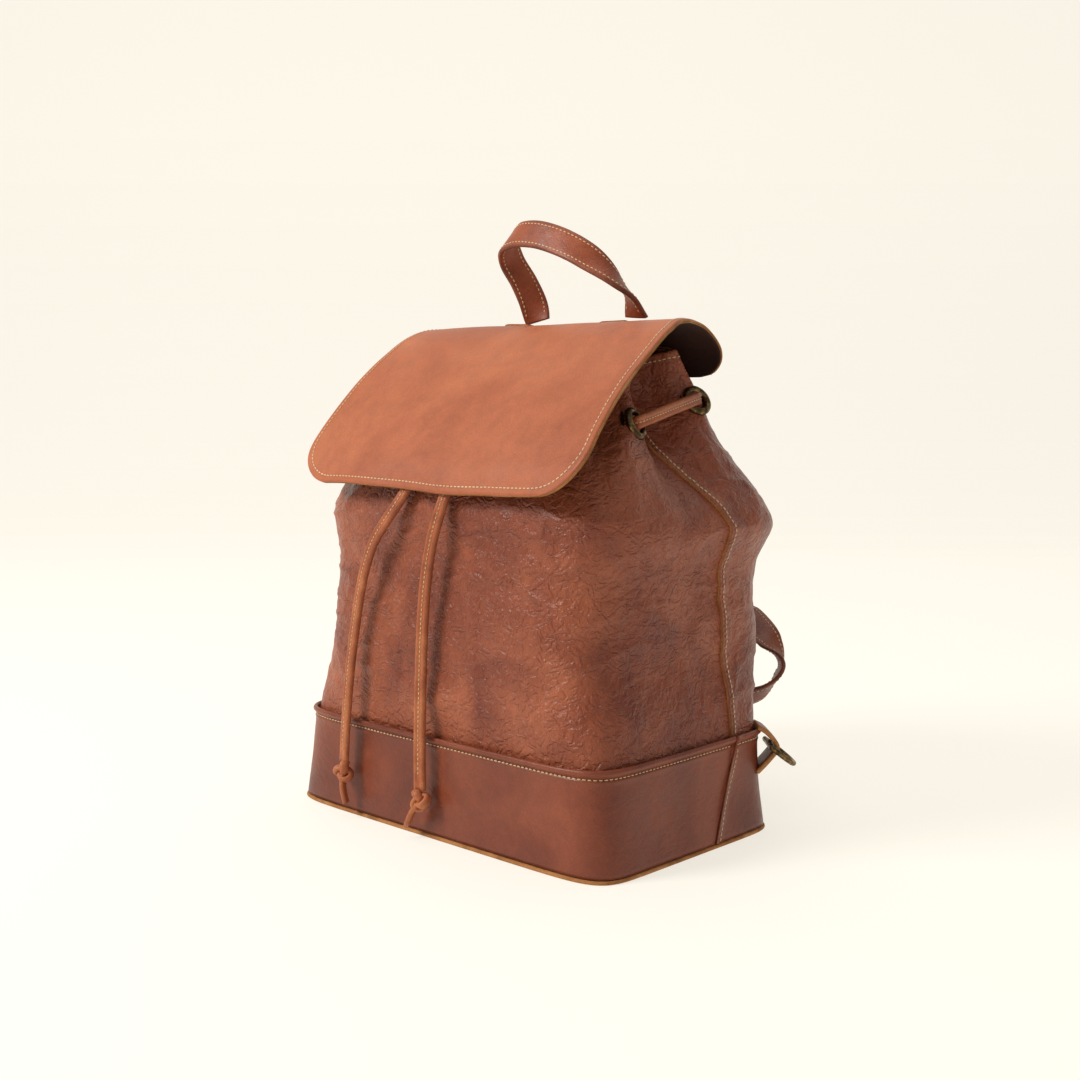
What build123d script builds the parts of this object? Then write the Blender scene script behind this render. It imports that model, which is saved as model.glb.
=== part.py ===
from build123d import *
import os
from functools import lru_cache
from math import cos, exp, pi, radians, sin

# A leather drawstring backpack with a fold-over flap, in millimetres. The origin is the centre of the
# base's underside, +Z is up, the front faces -Y and the wearer's back is towards +Y. Every leather and
# cloth layer is laid on one wall surface: a rounded outline whose width, front and back change with
# height, and whose sides tuck inwards where the lace gathers the mouth.

# --- overall sizes ------------------------------------------------------------------------------
body_width = 260.0  # at mid height
body_depth = 206.0  # at mid height, with the bulge of the back
body_shift = 9.0  # how far the middle of the body stands behind the middle of the base
body_height = 326.0  # floor to the back of the rim
rim_drop = 34.0  # how much lower the rim is at the front

# --- leather and cloth ----------------------------------------------------------------------------
layer_gap = 0.4  # between layers
base_leather = 2.5
base_edge = 1.0  # how far the base stands out past the band
board_thickness = 2.0
band_leather = 1.7
band_height = 64.0
body_leather = 1.8
facing_leather = 1.2
facing_share = 0.85  # of the way up the wall, where the lining ends and the facing starts
body_share = 0.17  # of the way up the wall, where the body starts behind the band
lining_cloth = 0.8
seam_share = 0.243  # place of the side seam, as a share of the way round from the middle of the front
seam_gap = 0.0004  # half the gap at the side seam, as a share of the way round

# --- flap and yoke ----------------------------------------------------------------------------------
flap_leather = 1.8
flap_lining = 1.4
flap_half_width = 131.0  # at the hem
flap_ridge_half_width = 124.0
flap_back_half_width = 98.0
flap_corner = 34.0
hem_height = 227.0
ridge_height = 335.0
yoke_leather = 2.0
yoke_low = 258.0
yoke_high = 296.0
yoke_half_width = 84.0
hinge_height = 297.0
hinge_behind_wall = 5.0

# --- eyelets and lace -------------------------------------------------------------------------------
eyelet_hole = 6.0
eyelet_flange = 11.0
eyelet_wall = 0.6
eyelet_lip = 1.3
eyelet_seat = 0.55  # how deep the flange presses into the leather
washer_thickness = 1.0
fit_clearance = 0.1
eyelet_depth = 33.0  # of its middle below the rim
front_eyelet_x = 16.0
front_side_eyelet_y = -17.0
back_side_eyelet_y = 55.0
lace_diameter = 6.0
lace_standoff = 5.0  # of the lace's middle from the wall where it runs beside it
lace_bend = 5.0
lace_back_room = 7.0  # of the lace's middle inside the back of the mouth
knot_radius = 6.5
tail_radius = 2.6

# --- carrying parts ---------------------------------------------------------------------------------
handle_width = 20.0
handle_leather = 3.4
foot_leather = 2.0
foot_half_width = 11.0
foot_x = 45.0
strap_width = 20.0
strap_leather = 2.8
strap_foot_height = 20.0
strap_foot_clear = 4.0  # between the foot and the strap's end
tab_width = 20.0
tab_reach = 14.0
tab_height = 31.0
tab_middle = 52.5
eye_reach = 7.5
eye_clearance = 0.1
ring_wire = 1.8
ring_length = 23.0
ring_half_width = 12.5
ring_droop = 38.0  # degrees below level

# Shares of the body's height, each with what is added to the half width, the front and the back, how
# square the outline is there, and how deep the sides are tucked in.
LEVELS = [
    # share, width, front, back, square, tuck
    (0.000, 18.0, -2.0, -28.0, 10.0, 0.0),
    (0.092, 13.0, -0.5, -28.0, 10.0, 0.0),
    (0.190, 11.0, 1.0, -26.0, 9.0, 0.0),
    (0.276, 6.0, 1.0, -16.0, 7.0, 0.0),
    (0.362, 0.0, 0.0, -2.0, 5.8, 0.0),
    (0.450, 0.0, 0.0, 0.0, 5.5, 0.0),
    (0.531, 0.0, 2.0, 4.0, 5.5, 0.0),
    (0.607, 9.0, 4.0, 11.0, 5.5, 0.0),
    (0.656, 7.0, 4.0, 7.0, 5.3, 4.0),
    (0.736, -5.0, 15.0, -7.0, 4.6, 16.0),
    (0.798, -14.0, 34.0, -20.0, 4.2, 29.0),
    (0.871, -22.0, 58.0, -33.0, 3.8, 40.0),
    (0.920, -25.0, 72.0, -45.0, 3.6, 41.0),
    (1.000, -29.0, 92.0, -62.0, 3.4, 36.0),
    (1.060, -31.0, 104.0, -74.0, 3.4, 33.0),
]
tuck_spread = 24.0  # how wide the tuck opens, front to back
tuck_spread_share = 0.45  # and at most this share of the outline's reach
OUTLINE_STEPS = 480
GRID_COLUMNS = 48
SMALL = 0.5  # the step used to find the wall's slope

# The handle's middle line, with the way that its width points.
HANDLE = [
    ((-43.0, 50.0, 339.0), (1.00, 0.20, 0.00)),
    ((-45.5, 48.5, 351.0), (0.70, 0.70, 0.00)),
    ((-50.0, 43.0, 367.0), (0.45, 0.88, 0.05)),
    ((-53.5, 34.0, 382.0), (0.25, 0.92, 0.30)),
    ((-48.0, 25.0, 392.0), (0.12, 0.72, 0.68)),
    ((-34.0, 19.0, 397.0), (0.10, 0.45, 0.88)),
    ((-16.0, 17.0, 396.5), (0.15, 0.36, 0.92)),
    ((6.0, 18.0, 390.5), (0.22, 0.40, 0.88)),
    ((30.0, 23.0, 378.0), (0.20, 0.65, 0.72)),
    ((45.0, 32.0, 363.5), (-0.30, 0.85, 0.30)),
    ((50.0, 43.5, 351.0), (-0.80, 0.58, 0.05)),
    ((49.5, 50.0, 339.0), (-1.00, 0.10, 0.00)),
]

# The right shoulder strap's middle line between its sewn ends, with the way that its width points.
STRAP = [
    ((27.0, 97.5, 263.0), (1.00, 0.00, 0.00)),
    ((26.0, 118.0, 263.5), (1.00, 0.00, 0.00)),
    ((24.0, 146.0, 249.0), (1.00, 0.00, 0.00)),
    ((25.0, 163.0, 219.0), (1.00, 0.00, 0.00)),
    ((29.0, 168.0, 186.0), (1.00, -0.05, 0.10)),
    ((40.0, 165.0, 156.0), (0.90, -0.30, -0.30)),
    ((64.0, 158.0, 130.0), (0.60, -0.50, -0.60)),
    ((94.0, 148.0, 110.0), (0.52, -0.55, -0.65)),
    ((109.0, 140.0, 93.0), (0.68, -0.73, 0.00)),
    ((103.0, 130.0, 78.5), (0.55, -0.50, 0.67)),
    ((83.0, 114.0, 70.5), (0.60, -0.30, 0.72)),
    ((64.0, 101.0, 65.0), (0.90, -0.10, 0.40)),
    ((54.0, 92.5, 59.0), (1.00, 0.00, 0.00)),
]

# The hanging lace ends, from the front eyelets to their knots.
LACE_RIGHT = [
    (16.0, -59.9, 258.2),
    (16.0, -65.2, 263.5),
    (16.0, -72.8, 256.8),
    (16.2, -86.0, 241.0),
    (15.8, -92.5, 229.0),
    (14.2, -97.2, 217.0),
    (8.5, -99.4, 199.0),
    (3.0, -100.0, 176.0),
    (-0.5, -100.4, 147.0),
    (-2.6, -100.6, 112.0),
    (-3.3, -101.2, 80.0),
    (-2.4, -102.6, 52.0),
    (-0.8, -103.8, 33.0),
]
LACE_LEFT = [
    (-16.0, -59.9, 258.2),
    (-16.0, -65.2, 263.5),
    (-16.2, -72.8, 256.8),
    (-18.0, -86.0, 241.0),
    (-21.5, -92.5, 229.0),
    (-27.0, -97.2, 217.0),
    (-37.0, -99.3, 205.0),
    (-50.0, -100.0, 190.0),
    (-60.5, -100.4, 166.0),
    (-67.5, -100.6, 137.0),
    (-73.5, -101.2, 105.0),
    (-77.0, -101.8, 76.0),
    (-78.0, -103.0, 54.0),
    (-78.4, -103.8, 38.0),
]
RIGHT_TAIL = (-11.0, -1.0, -17.0)  # from the knot's middle to the cut end
LEFT_TAIL = (3.0, -1.0, -20.0)
LACE_TURN_SHARE = 0.45  # of the shorter run, for each bend of a hanging end


# --- the wall -------------------------------------------------------------------------------------
@lru_cache(maxsize=None)
def level(height):
    """Half width, front, back, squareness and tuck at a height, smoothly between the levels."""
    share = min(max(height / body_height, LEVELS[0][0]), LEVELS[-1][0])
    i = max(k for k in range(len(LEVELS) - 1) if LEVELS[k][0] <= share)
    low = LEVELS[i]
    high = LEVELS[i + 1]
    before = LEVELS[max(i - 1, 0)]
    after = LEVELS[min(i + 2, len(LEVELS) - 1)]
    span = high[0] - low[0]
    t = (share - low[0]) / span
    values = []
    for k in range(1, 6):
        start = (high[k] - before[k]) / (high[0] - before[0]) * span
        end = (after[k] - low[k]) / (after[0] - low[0]) * span
        values.append(
            (2 * t**3 - 3 * t**2 + 1) * low[k]
            + (t**3 - 2 * t**2 + t) * start
            + (3 * t**2 - 2 * t**3) * high[k]
            + (t**3 - t**2) * end
        )
    width, front, back, square, tuck = values
    half = body_width / 2 + width
    return half, front - body_depth / 2 + body_shift, back + body_depth / 2 + body_shift, square, tuck


@lru_cache(maxsize=None)
def outline(height):
    """Points round the wall at a height, from the middle of the front, with the way run to each."""
    half, front, back, square, tuck = level(height)
    middle = (front + back) / 2
    reach = (back - front) / 2
    spread = min(tuck_spread, tuck_spread_share * reach)
    points = []
    for i in range(OUTLINE_STEPS + 1):
        a = 2 * pi * i / OUTLINE_STEPS - pi / 2
        x = half * abs(cos(a)) ** (2 / square) * (1 if cos(a) > 0 else -1)
        y = middle + reach * abs(sin(a)) ** (2 / square) * (1 if sin(a) > 0 else -1)
        points.append((x * (1 - tuck / half * exp(-(((y - middle) / spread) ** 2))), y))
    run = [0.0]
    for (x0, y0), (x1, y1) in zip(points, points[1:]):
        run.append(run[-1] + ((x1 - x0) ** 2 + (y1 - y0) ** 2) ** 0.5)
    return points, run


def on_outline(height, around):
    """The point of the outline at a share of the way round."""
    points, run = outline(round(height, 3))
    target = run[-1] * (around % 1.0)
    low, high = 0, OUTLINE_STEPS
    while high - low > 1:
        middle = (low + high) // 2
        if run[middle] <= target:
            low = middle
        else:
            high = middle
    t = (target - run[low]) / (run[high] - run[low])
    (x0, y0), (x1, y1) = points[low], points[high]
    return Vector(x0 + (x1 - x0) * t, y0 + (y1 - y0) * t, height)


def outward(height, around):
    """The wall's outward direction."""
    step = 0.004
    along = on_outline(height, around + step) - on_outline(height, around - step)
    up = on_outline(height + SMALL * 4, around) - on_outline(height - SMALL * 4, around)
    return along.cross(up).normalized()


def wall_point(height, around, out=0.0):
    return on_outline(height, around) + outward(height, around) * out


def find_around(height, want, low, high, axis):
    """The share of the way round where the outline reaches a wanted x (axis 0) or y (axis 1)."""
    sign = 1 if tuple(on_outline(height, high))[axis] > tuple(on_outline(height, low))[axis] else -1
    for _ in range(40):
        middle = (low + high) / 2
        if (tuple(on_outline(height, middle))[axis] - want) * sign < 0:
            low = middle
        else:
            high = middle
    return (low + high) / 2


def rim(around):
    return body_height - rim_drop * (1 + cos(2 * pi * around)) / 2


def wall_rows(heights, start, end, inset, columns):
    """A spline round the wall for each height, which is a number or a function of the share round."""
    shares = [c / (columns - 1) for c in range(columns)]
    rows = []
    for height in heights:
        points = []
        for share in shares:
            around = start + (end - start) * share
            points.append(wall_point(height(around) if callable(height) else height, around, -inset))
        rows.append(Edge.make_spline(points, parameters=shares))
    return rows


def patch(heights, start, end, inset, thickness, columns=GRID_COLUMNS):
    """A layer of the wall, ruled from row to row on both faces, with straight cut edges."""
    outer = wall_rows(heights, start, end, inset, columns)
    inner = wall_rows(heights, start, end, inset + thickness, columns)
    faces = []
    for skin in (outer, inner):
        for low, high in zip(skin, skin[1:]):
            faces.append(Face.make_surface_from_curves(low, high))
    for end_at in (0, -1):
        faces.append(Face.make_surface_from_curves(outer[end_at], inner[end_at]))
    for at in (0, 1):
        for k in range(len(heights) - 1):
            near = Edge.make_line(outer[k] @ at, outer[k + 1] @ at)
            far = Edge.make_line(inner[k] @ at, inner[k + 1] @ at)
            faces.append(Face.make_surface_from_curves(near, far))
    return Solid(Shell(faces))


def spread(low, high, count):
    """Evenly spaced heights from low to high."""
    return [low + (high - low) * i / (count - 1) for i in range(count)]


def share_height(share):
    """A row that lies at a share of the way from the lining's foot to the rim."""
    return lambda around: lining_foot + (rim(around) - lining_foot) * share


def share_rows(low, high, count):
    return [share_height(share) for share in spread(low, high, count)]


def floor_piece(height, thickness, inset):
    """A flat piece with the outline's shape at a height."""
    count = 72
    points = []
    for i in range(count):
        point = on_outline(height, i / count)
        side = outward(height, i / count)
        side = Vector(side.X, side.Y, 0).normalized()
        points.append(Vector(point.X, point.Y, 0) - side * inset)
    return extrude(make_face(Spline(*points, periodic=True)), thickness)


# --- body, band, base and lining --------------------------------------------------------------------
body_inset = band_leather + layer_gap
lining_foot = base_leather + board_thickness + 3 * layer_gap
lining_gap_share = 0.002
inner_inset = body_inset + body_leather + layer_gap
front_span = (-seam_share + seam_gap, seam_share - seam_gap)
back_span = (seam_share + seam_gap, 1 - seam_share - seam_gap)
band_low = base_leather + 2 * layer_gap


def soft_walls():
    """Front and back of each layer of the wall. Layers over one another share their rows."""
    made = {}
    edge = facing_share - lining_gap_share
    for side, (start, end) in (("front", front_span), ("back", back_span)):
        band = spread(band_low, band_height, 9)
        made["band_" + side] = patch(band, start, end, 0, band_leather)
        body = share_rows(body_share, 1.0, 29)
        made["body_" + side] = patch(body, start, end, body_inset, body_leather)
        facing = share_rows(facing_share, 1.0, 6)
        made["mouth_facing_" + side] = patch(facing, start, end, inner_inset, facing_leather)
        lining = share_rows(0.0, 0.17, 6) + share_rows(body_share, edge, 24)[1:]
        made["lining_" + side] = patch(lining, start, end, inner_inset, lining_cloth)
    return made


def floors():
    board_low = base_leather + layer_gap
    lining_low = board_low + board_thickness + layer_gap
    inner = inner_inset + lining_cloth + 2 * layer_gap
    return {
        "base_panel": floor_piece(0, base_leather, -base_edge),
        "base_board": Pos(0, 0, board_low) * floor_piece(board_low, board_thickness, inner),
        "lining_floor": Pos(0, 0, lining_low) * floor_piece(lining_low, lining_cloth, inner),
    }


# --- eyelets and lace -------------------------------------------------------------------------------
def eyelet_height(around):
    return rim(around) - eyelet_depth


def eyelet_places():
    """The share of the way round of each eyelet, from the front right round to the front left."""
    right = [
        find_around(eyelet_height(0.02), front_eyelet_x, 0.0, 0.10, 0),
        find_around(eyelet_height(0.18), front_side_eyelet_y, 0.06, 0.30, 1),
        find_around(eyelet_height(0.32), back_side_eyelet_y, 0.20, 0.44, 1),
    ]
    return right + [1 - a for a in reversed(right)]


def eyelet_plane(around):
    normal = outward(eyelet_height(around), around)
    return Plane(
        origin=wall_point(eyelet_height(around), around, -body_inset),
        x_dir=normal.cross(Vector(0, 0, 1)),
        z_dir=normal,
    )


stack = body_leather + layer_gap + facing_leather
seat_room = 0.3
seat_height = 6.0


def annulus(outer, inner, low, height):
    ring = Cylinder(outer, height) - Cylinder(inner, height)
    return Pos(0, 0, low + height / 2) * ring


def eyelet():
    """Flange and barrel, in the leather's own plane with the outside up."""
    flange = annulus(eyelet_flange, eyelet_hole, -eyelet_seat, eyelet_lip)
    outer_edge = flange.edges().filter_by(GeomType.CIRCLE).sort_by(Axis.Z)[-2:]
    flange = fillet(outer_edge, eyelet_lip * 0.4)
    barrel_low = -stack - washer_thickness
    barrel = annulus(eyelet_hole + eyelet_wall, eyelet_hole, barrel_low, -barrel_low)
    return flange + barrel


def washer():
    low = -stack + eyelet_seat - washer_thickness
    bore = eyelet_hole + eyelet_wall + fit_clearance
    return annulus(eyelet_flange, bore, low, washer_thickness)


def eyelet_cutter():
    """What the wall gives up to an eyelet: the bore and the two flat seats."""
    bore = Cylinder(eyelet_hole + eyelet_wall + fit_clearance, 4 * stack)
    wide = eyelet_flange + seat_room
    outer_seat = Pos(0, 0, -eyelet_seat + seat_height / 2) * Cylinder(wide, seat_height)
    inner_seat = Pos(0, 0, -stack + eyelet_seat - seat_height / 2) * Cylinder(wide, seat_height)
    return bore + outer_seat + inner_seat


def behind_mouth(around):
    """Where the lace lies inside the back of the mouth."""
    return wall_point(eyelet_height(around), around, -body_inset - stack - lace_back_room)


def lace_loop(places):
    """The lace through all the eyelets, from one front eyelet round the back to the other."""
    out = lace_standoff
    deep = stack + lace_standoff
    points = []
    for i, around in enumerate(places):
        middle = eyelet_plane(around).origin
        normal = eyelet_plane(around).z_dir
        outside = middle + normal * out
        inside = middle - normal * deep
        leaves_inwards = i % 2 == 0
        points += [outside, inside] if leaves_inwards else [inside, outside]
        if i == len(places) // 2 - 1:
            points += [behind_mouth(0.41), behind_mouth(0.47), behind_mouth(0.53), behind_mouth(0.59)]
    points[0] = LACE_RIGHT[0]
    points[-1] = LACE_LEFT[0]
    path = FilletPolyline(*points, radius=lace_bend)
    return sweep((path ^ 0) * Circle(lace_diameter / 2), path=path)


def bend_radii(points):
    radii = []
    points = [Vector(p) for p in points]
    for a, b, c in zip(points, points[1:], points[2:]):
        half_turn = radians((b - a).get_angle(c - b)) / 2
        shorter = min((b - a).length, (c - b).length)
        radii.append(LACE_TURN_SHARE * shorter * cos(half_turn) / sin(half_turn))
    return radii


def lace_end(points, name):
    radii = bend_radii(points)
    path = FilletPolyline(*points, radius=radii)
    tube = sweep((path ^ 0) * Circle(lace_diameter / 2), path=path)
    section = pi * lace_diameter**2 / 4
    print(name, "length", round(path.length, 1), "radii", [round(r, 1) for r in radii])
    print(name, "volume against section x length", round(tube.volume / section / path.length, 4))
    return tube


def knot(points, tail):
    """An overhand knot as one rounded lump, with its cut tail below."""
    end = Vector(points[-1])
    way = (end - Vector(points[-2])).normalized()
    middle = end + way * (knot_radius + layer_gap)
    lump = Pos(*middle) * Sphere(knot_radius)
    lump = lump - Plane(end + way * layer_gap, z_dir=-way) * Pos(0, 0, 5) * Cylinder(20, 10)
    tail_end = middle + Vector(tail)
    tail_plane = Plane(middle, z_dir=Vector(tail))
    stub = extrude(tail_plane * Circle(tail_radius), (tail_end - middle).length)
    return lump + stub


# --- flap, yoke and handle ----------------------------------------------------------------------------
def flap_line(out):
    """The flap's outer face from hem to hinge, as (y, z), moved out or in."""
    wall_back = level(hinge_height)[2]
    end_y = wall_back + hinge_behind_wall
    h = hem_height
    r = ridge_height
    base = [
        (-101.0, h),
        (-95.5, h + 13.0),
        (-85.0, h + 27.5),
        (-68.0, h + 47.5),
        (-48.0, h + 68.5),
        (-26.0, r - 20.5),
        (-8.0, r - 7.5),
        (6.0, r - 1.5),
        (20.0, r),
        (36.0, r - 1.0),
        (end_y - 21.0, r - 4.5),
        (end_y - 7.0, r - 14.5),
        (end_y - 1.0, r - 26.0),
        (end_y, hinge_height + 1.5),
    ]
    curve = Spline(*[(0, y, z) for y, z in base])
    count = 30
    points = []
    for i in range(count + 1):
        at = curve @ (i / count)
        way = curve % (i / count)
        points.append((0, at.Y - way.Z * out, at.Z + way.Y * out))
    return points


def flap_layer(outer, inner):
    near = flap_line(outer)
    far = flap_line(inner)
    edge = Spline(*near) + Line(near[-1], far[-1]) + Spline(*reversed(far)) + Line(far[0], near[0])
    return extrude(make_face(edge), body_width, dir=(1, 0, 0), both=True)


def flap_plan():
    """The flap's outline seen square to its slope, as a long prism."""
    slope = Plane(origin=(0, 0, 0), x_dir=(1, 0, 0), z_dir=(0, -1, 1))
    low = slope.to_local_coords(Vector(0, -101.0, hem_height)).Y - 2.0
    ridge = slope.to_local_coords(Vector(0, 6.0, ridge_height)).Y
    top = ridge + 60.0
    outline_2d = Polyline(
        (-flap_half_width, low),
        (flap_half_width, low),
        (flap_ridge_half_width, ridge - 12.0),
        (flap_back_half_width, top),
        (-flap_back_half_width, top),
        (-flap_ridge_half_width, ridge - 12.0),
        close=True,
    )
    plan = make_face(outline_2d)
    corners = plan.vertices().sort_by(Axis.Y)[:2]
    plan = fillet(corners, flap_corner)
    shoulders = plan.vertices().group_by(Axis.Y)[-2]
    plan = fillet(shoulders, 30.0)
    return extrude(slope * plan, 600, both=True)


def flap_parts():
    plan = flap_plan()
    inner = flap_leather + 0.2
    parts = {
        "flap_outer": flap_layer(0, -flap_leather) & plan,
        "flap_lining": flap_layer(-inner, -inner - flap_lining) & plan,
    }
    layer = flap_layer(layer_gap + foot_leather, layer_gap)
    for side, sign in (("left", -1), ("right", 1)):
        block = Pos(sign * foot_x, 52.0, ridge_height) * Box(2 * foot_half_width, 20.0, 40.0)
        parts["handle_foot_" + side] = layer & block
    return parts


def ribbon(stations, width, thickness):
    """A strap through its stations, each a point and the way that the width points."""
    points = [Vector(p) for p, _ in stations]
    line = Spline(*points)
    sections = []
    for point, (_, wide) in zip(points, stations):
        way = line.tangent_at(line.param_at_point(point))
        wide = Vector(wide)
        wide = (wide - way * wide.dot(way)).normalized()
        sections.append(Plane(origin=point, x_dir=wide, z_dir=way) * Rectangle(width, thickness))
    return loft([s.face() for s in sections])


def mirrored(stations):
    return [((-x, y, z), (wx, -wy, -wz)) for (x, y, z), (wx, wy, wz) in stations]


def strap_feet():
    made = {}
    x, _, z = STRAP[-1][0]
    for side, sign in (("right", 1), ("left", -1)):
        span = [find_around(z, sign * (x + d), 0.40, 0.60, 0) for d in (11.0, -11.0)]
        made["strap_foot_" + side] = patch(
            spread(z - strap_foot_height, z - strap_foot_clear, 5), min(span), max(span),
            -strap_leather - layer_gap, strap_leather, columns=6,
        )
    return made


def yoke():
    start = find_around(yoke_low, yoke_half_width, 0.40, 0.5, 0)
    rows = spread(yoke_low, yoke_high, 6)
    return patch(rows, start, 1 - start, -yoke_leather - 0.1, yoke_leather, columns=24)


# --- corner tabs and rings ------------------------------------------------------------------------------
def corner(sign):
    """A plane at the rear corner: x outwards along the diagonal, y up, z along the ring's bar."""
    low, high = 0.25, 0.45
    for _ in range(40):
        middle = (low + high) / 2
        n = outward(tab_middle, middle)
        if n.Y > n.X:
            high = middle
        else:
            low = middle
    at = on_outline(tab_middle, low)
    diagonal = Vector(sign, 1, 0).normalized()
    return Plane(
        origin=Vector(sign * at.X, at.Y, tab_middle),
        x_dir=diagonal,
        z_dir=diagonal.cross(Vector(0, 0, 1)),
    )


def corner_tab(sign):
    """A folded leather loop on the corner, with an eye for the ring's bar."""
    half = tab_height / 2
    root = 0.6
    shape = make_face(
        Spline(
            (root, half), (tab_reach * 0.62, half * 0.62), (tab_reach, 0.0),
            (tab_reach * 0.62, -half * 0.62), (root, -half),
        )
        + Line((root, -half), (root, half))
    )
    shape = shape - Pos(eye_reach, 2.5) * Circle(ring_wire + eye_clearance)
    return extrude(corner(sign) * shape, tab_width / 2, both=True)


def ring(sign):
    """A wire D with its straight bar in the tab's eye."""
    plane = corner(sign)
    eye = plane.from_local_coords(Vector(eye_reach, 2.5, 0))
    droop = radians(ring_droop)
    reach = plane.x_dir * cos(droop) + plane.y_dir * -sin(droop)
    along = plane.z_dir
    frame = Plane(origin=eye, x_dir=along, z_dir=along.cross(reach))
    arms = ring_length - ring_half_width - ring_wire
    wire = Circle(ring_wire)
    local = Pos(0, 0, 0) * extrude(Plane.YZ * wire, ring_half_width, both=True)
    for side in (-1, 1):
        local += Pos(side * ring_half_width, 0, 0) * Sphere(ring_wire)
        local += extrude(Plane(origin=(side * ring_half_width, 0, 0), z_dir=(0, 1, 0)) * wire, arms)
    bow = revolve(
        Plane(origin=(ring_half_width, arms, 0), x_dir=(1, 0, 0), z_dir=(0, 1, 0)) * wire,
        Axis((0, arms, 0), (0, 0, 1)),
        180,
    )
    local += bow
    return frame * local


# --- build ---
def build():
    parts = {}
    parts.update(floors())
    parts.update(soft_walls())
    parts.update(flap_parts())
    parts["back_yoke"] = yoke()
    parts.update(strap_feet())
    places = eyelet_places()
    for i, around in enumerate(places):
        plane = eyelet_plane(around)
        cutter = plane * eyelet_cutter()
        side = "back" if i in (2, 3) else "front"
        for layer in ("body_", "mouth_facing_"):
            parts[layer + side] = parts[layer + side] - cutter
        parts[f"eyelet_{i + 1}"] = plane * eyelet()
        parts[f"eyelet_washer_{i + 1}"] = plane * washer()
    parts["lace_loop"] = lace_loop(places)
    parts["lace_end_right"] = lace_end(LACE_RIGHT, "lace_end_right")
    parts["lace_end_left"] = lace_end(LACE_LEFT, "lace_end_left")
    parts["lace_knot_right"] = knot(LACE_RIGHT, RIGHT_TAIL)
    parts["lace_knot_left"] = knot(LACE_LEFT, LEFT_TAIL)
    parts["handle"] = ribbon(HANDLE, handle_width, handle_leather)
    parts["strap_right"] = ribbon(STRAP, strap_width, strap_leather)
    parts["strap_left"] = ribbon(mirrored(STRAP), strap_width, strap_leather)
    for side, sign in (("right", 1), ("left", -1)):
        parts["corner_tab_" + side] = corner_tab(sign)
        parts["d_ring_" + side] = ring(sign)
    return parts


os.makedirs("parts", exist_ok=True)
for name, shape in build().items():
    export_step(shape, f"parts/{name}.step")
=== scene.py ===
from math import cos, pi, radians, sin, sqrt, tau

import bpy
import numpy as np
from mathutils import Matrix, Vector


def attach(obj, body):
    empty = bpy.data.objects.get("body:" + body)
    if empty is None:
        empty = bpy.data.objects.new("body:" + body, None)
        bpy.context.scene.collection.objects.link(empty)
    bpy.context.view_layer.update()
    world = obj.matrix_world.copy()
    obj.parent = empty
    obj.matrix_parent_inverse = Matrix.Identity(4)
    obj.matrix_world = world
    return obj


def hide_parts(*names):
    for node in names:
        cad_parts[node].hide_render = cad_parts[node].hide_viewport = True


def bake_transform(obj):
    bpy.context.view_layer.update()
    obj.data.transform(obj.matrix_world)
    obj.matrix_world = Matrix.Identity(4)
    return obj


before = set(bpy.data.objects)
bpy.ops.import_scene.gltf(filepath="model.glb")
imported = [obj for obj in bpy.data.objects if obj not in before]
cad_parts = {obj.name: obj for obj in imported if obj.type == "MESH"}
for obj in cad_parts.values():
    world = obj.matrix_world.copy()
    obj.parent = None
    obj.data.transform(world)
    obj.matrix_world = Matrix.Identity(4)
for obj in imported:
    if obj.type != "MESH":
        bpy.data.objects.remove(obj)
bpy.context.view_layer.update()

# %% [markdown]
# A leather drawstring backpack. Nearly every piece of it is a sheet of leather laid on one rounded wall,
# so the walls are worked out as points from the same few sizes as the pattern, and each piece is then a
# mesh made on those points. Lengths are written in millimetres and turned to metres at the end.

MM = 0.001

# %% [markdown]
# The camera stands as for a catalogue picture: off the right front corner at a low height, looking a
# little down, with a lens a bit longer than normal so that upright edges stay upright.

# %% camera
HEADING, TILT = 43.7, 5.63  # degrees to the left of straight on, and down
camera_data = bpy.data.cameras.new("camera")
camera_data.lens = 47.33
camera_data.sensor_width = 36.0
camera = bpy.data.objects.new("camera", camera_data)
bpy.context.scene.collection.objects.link(camera)
camera.location = (0.6725, -0.6965, 0.283)
camera.rotation_euler = (radians(90 - TILT), 0, radians(HEADING))
bpy.context.scene.camera = camera
bpy.context.scene.view_settings.view_transform = "Standard"
print("camera at", tuple(camera.location))

# %% [markdown]
# Shared helpers. One turns a hex colour to the linear values that shaders use, one adds a shader node with
# its settings and links, and two turn rows of points into meshes: a sheet with two faces and cut edges,
# and a swept piece made of rings. The last says what a finished piece stands for.

# %% colour and node helpers
def to_linear(hex_colour):
    parts = [int(hex_colour[i:i + 2], 16) / 255 for i in (1, 3, 5)]
    return tuple(c / 12.92 if c <= 0.04045 else ((c + 0.055) / 1.055) ** 2.4 for c in parts) + (1.0,)


def add_node(tree, kind, settings=None, **inputs):
    """A node with its settings. Each input, by name (spaces as _) or number (in_0), is a value or a socket."""
    node = tree.nodes.new(kind)
    for key, value in (settings or {}).items():
        setattr(node, key, value)
    for key, value in inputs.items():
        socket = node.inputs[int(key[3:])] if key.startswith("in_") else node.inputs[key.replace("_", " ")]
        if isinstance(value, bpy.types.NodeSocket):
            tree.links.new(value, socket)
        else:
            socket.default_value = value
    return node


def noise(tree, place, size_mm, detail, **inputs):
    """Smooth noise of a place in metres, with swells of a size in millimetres."""
    return add_node(tree, "ShaderNodeTexNoise", Vector=place, Scale=1000 / size_mm, Detail=detail,
                    **inputs).outputs["Fac"]


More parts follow.
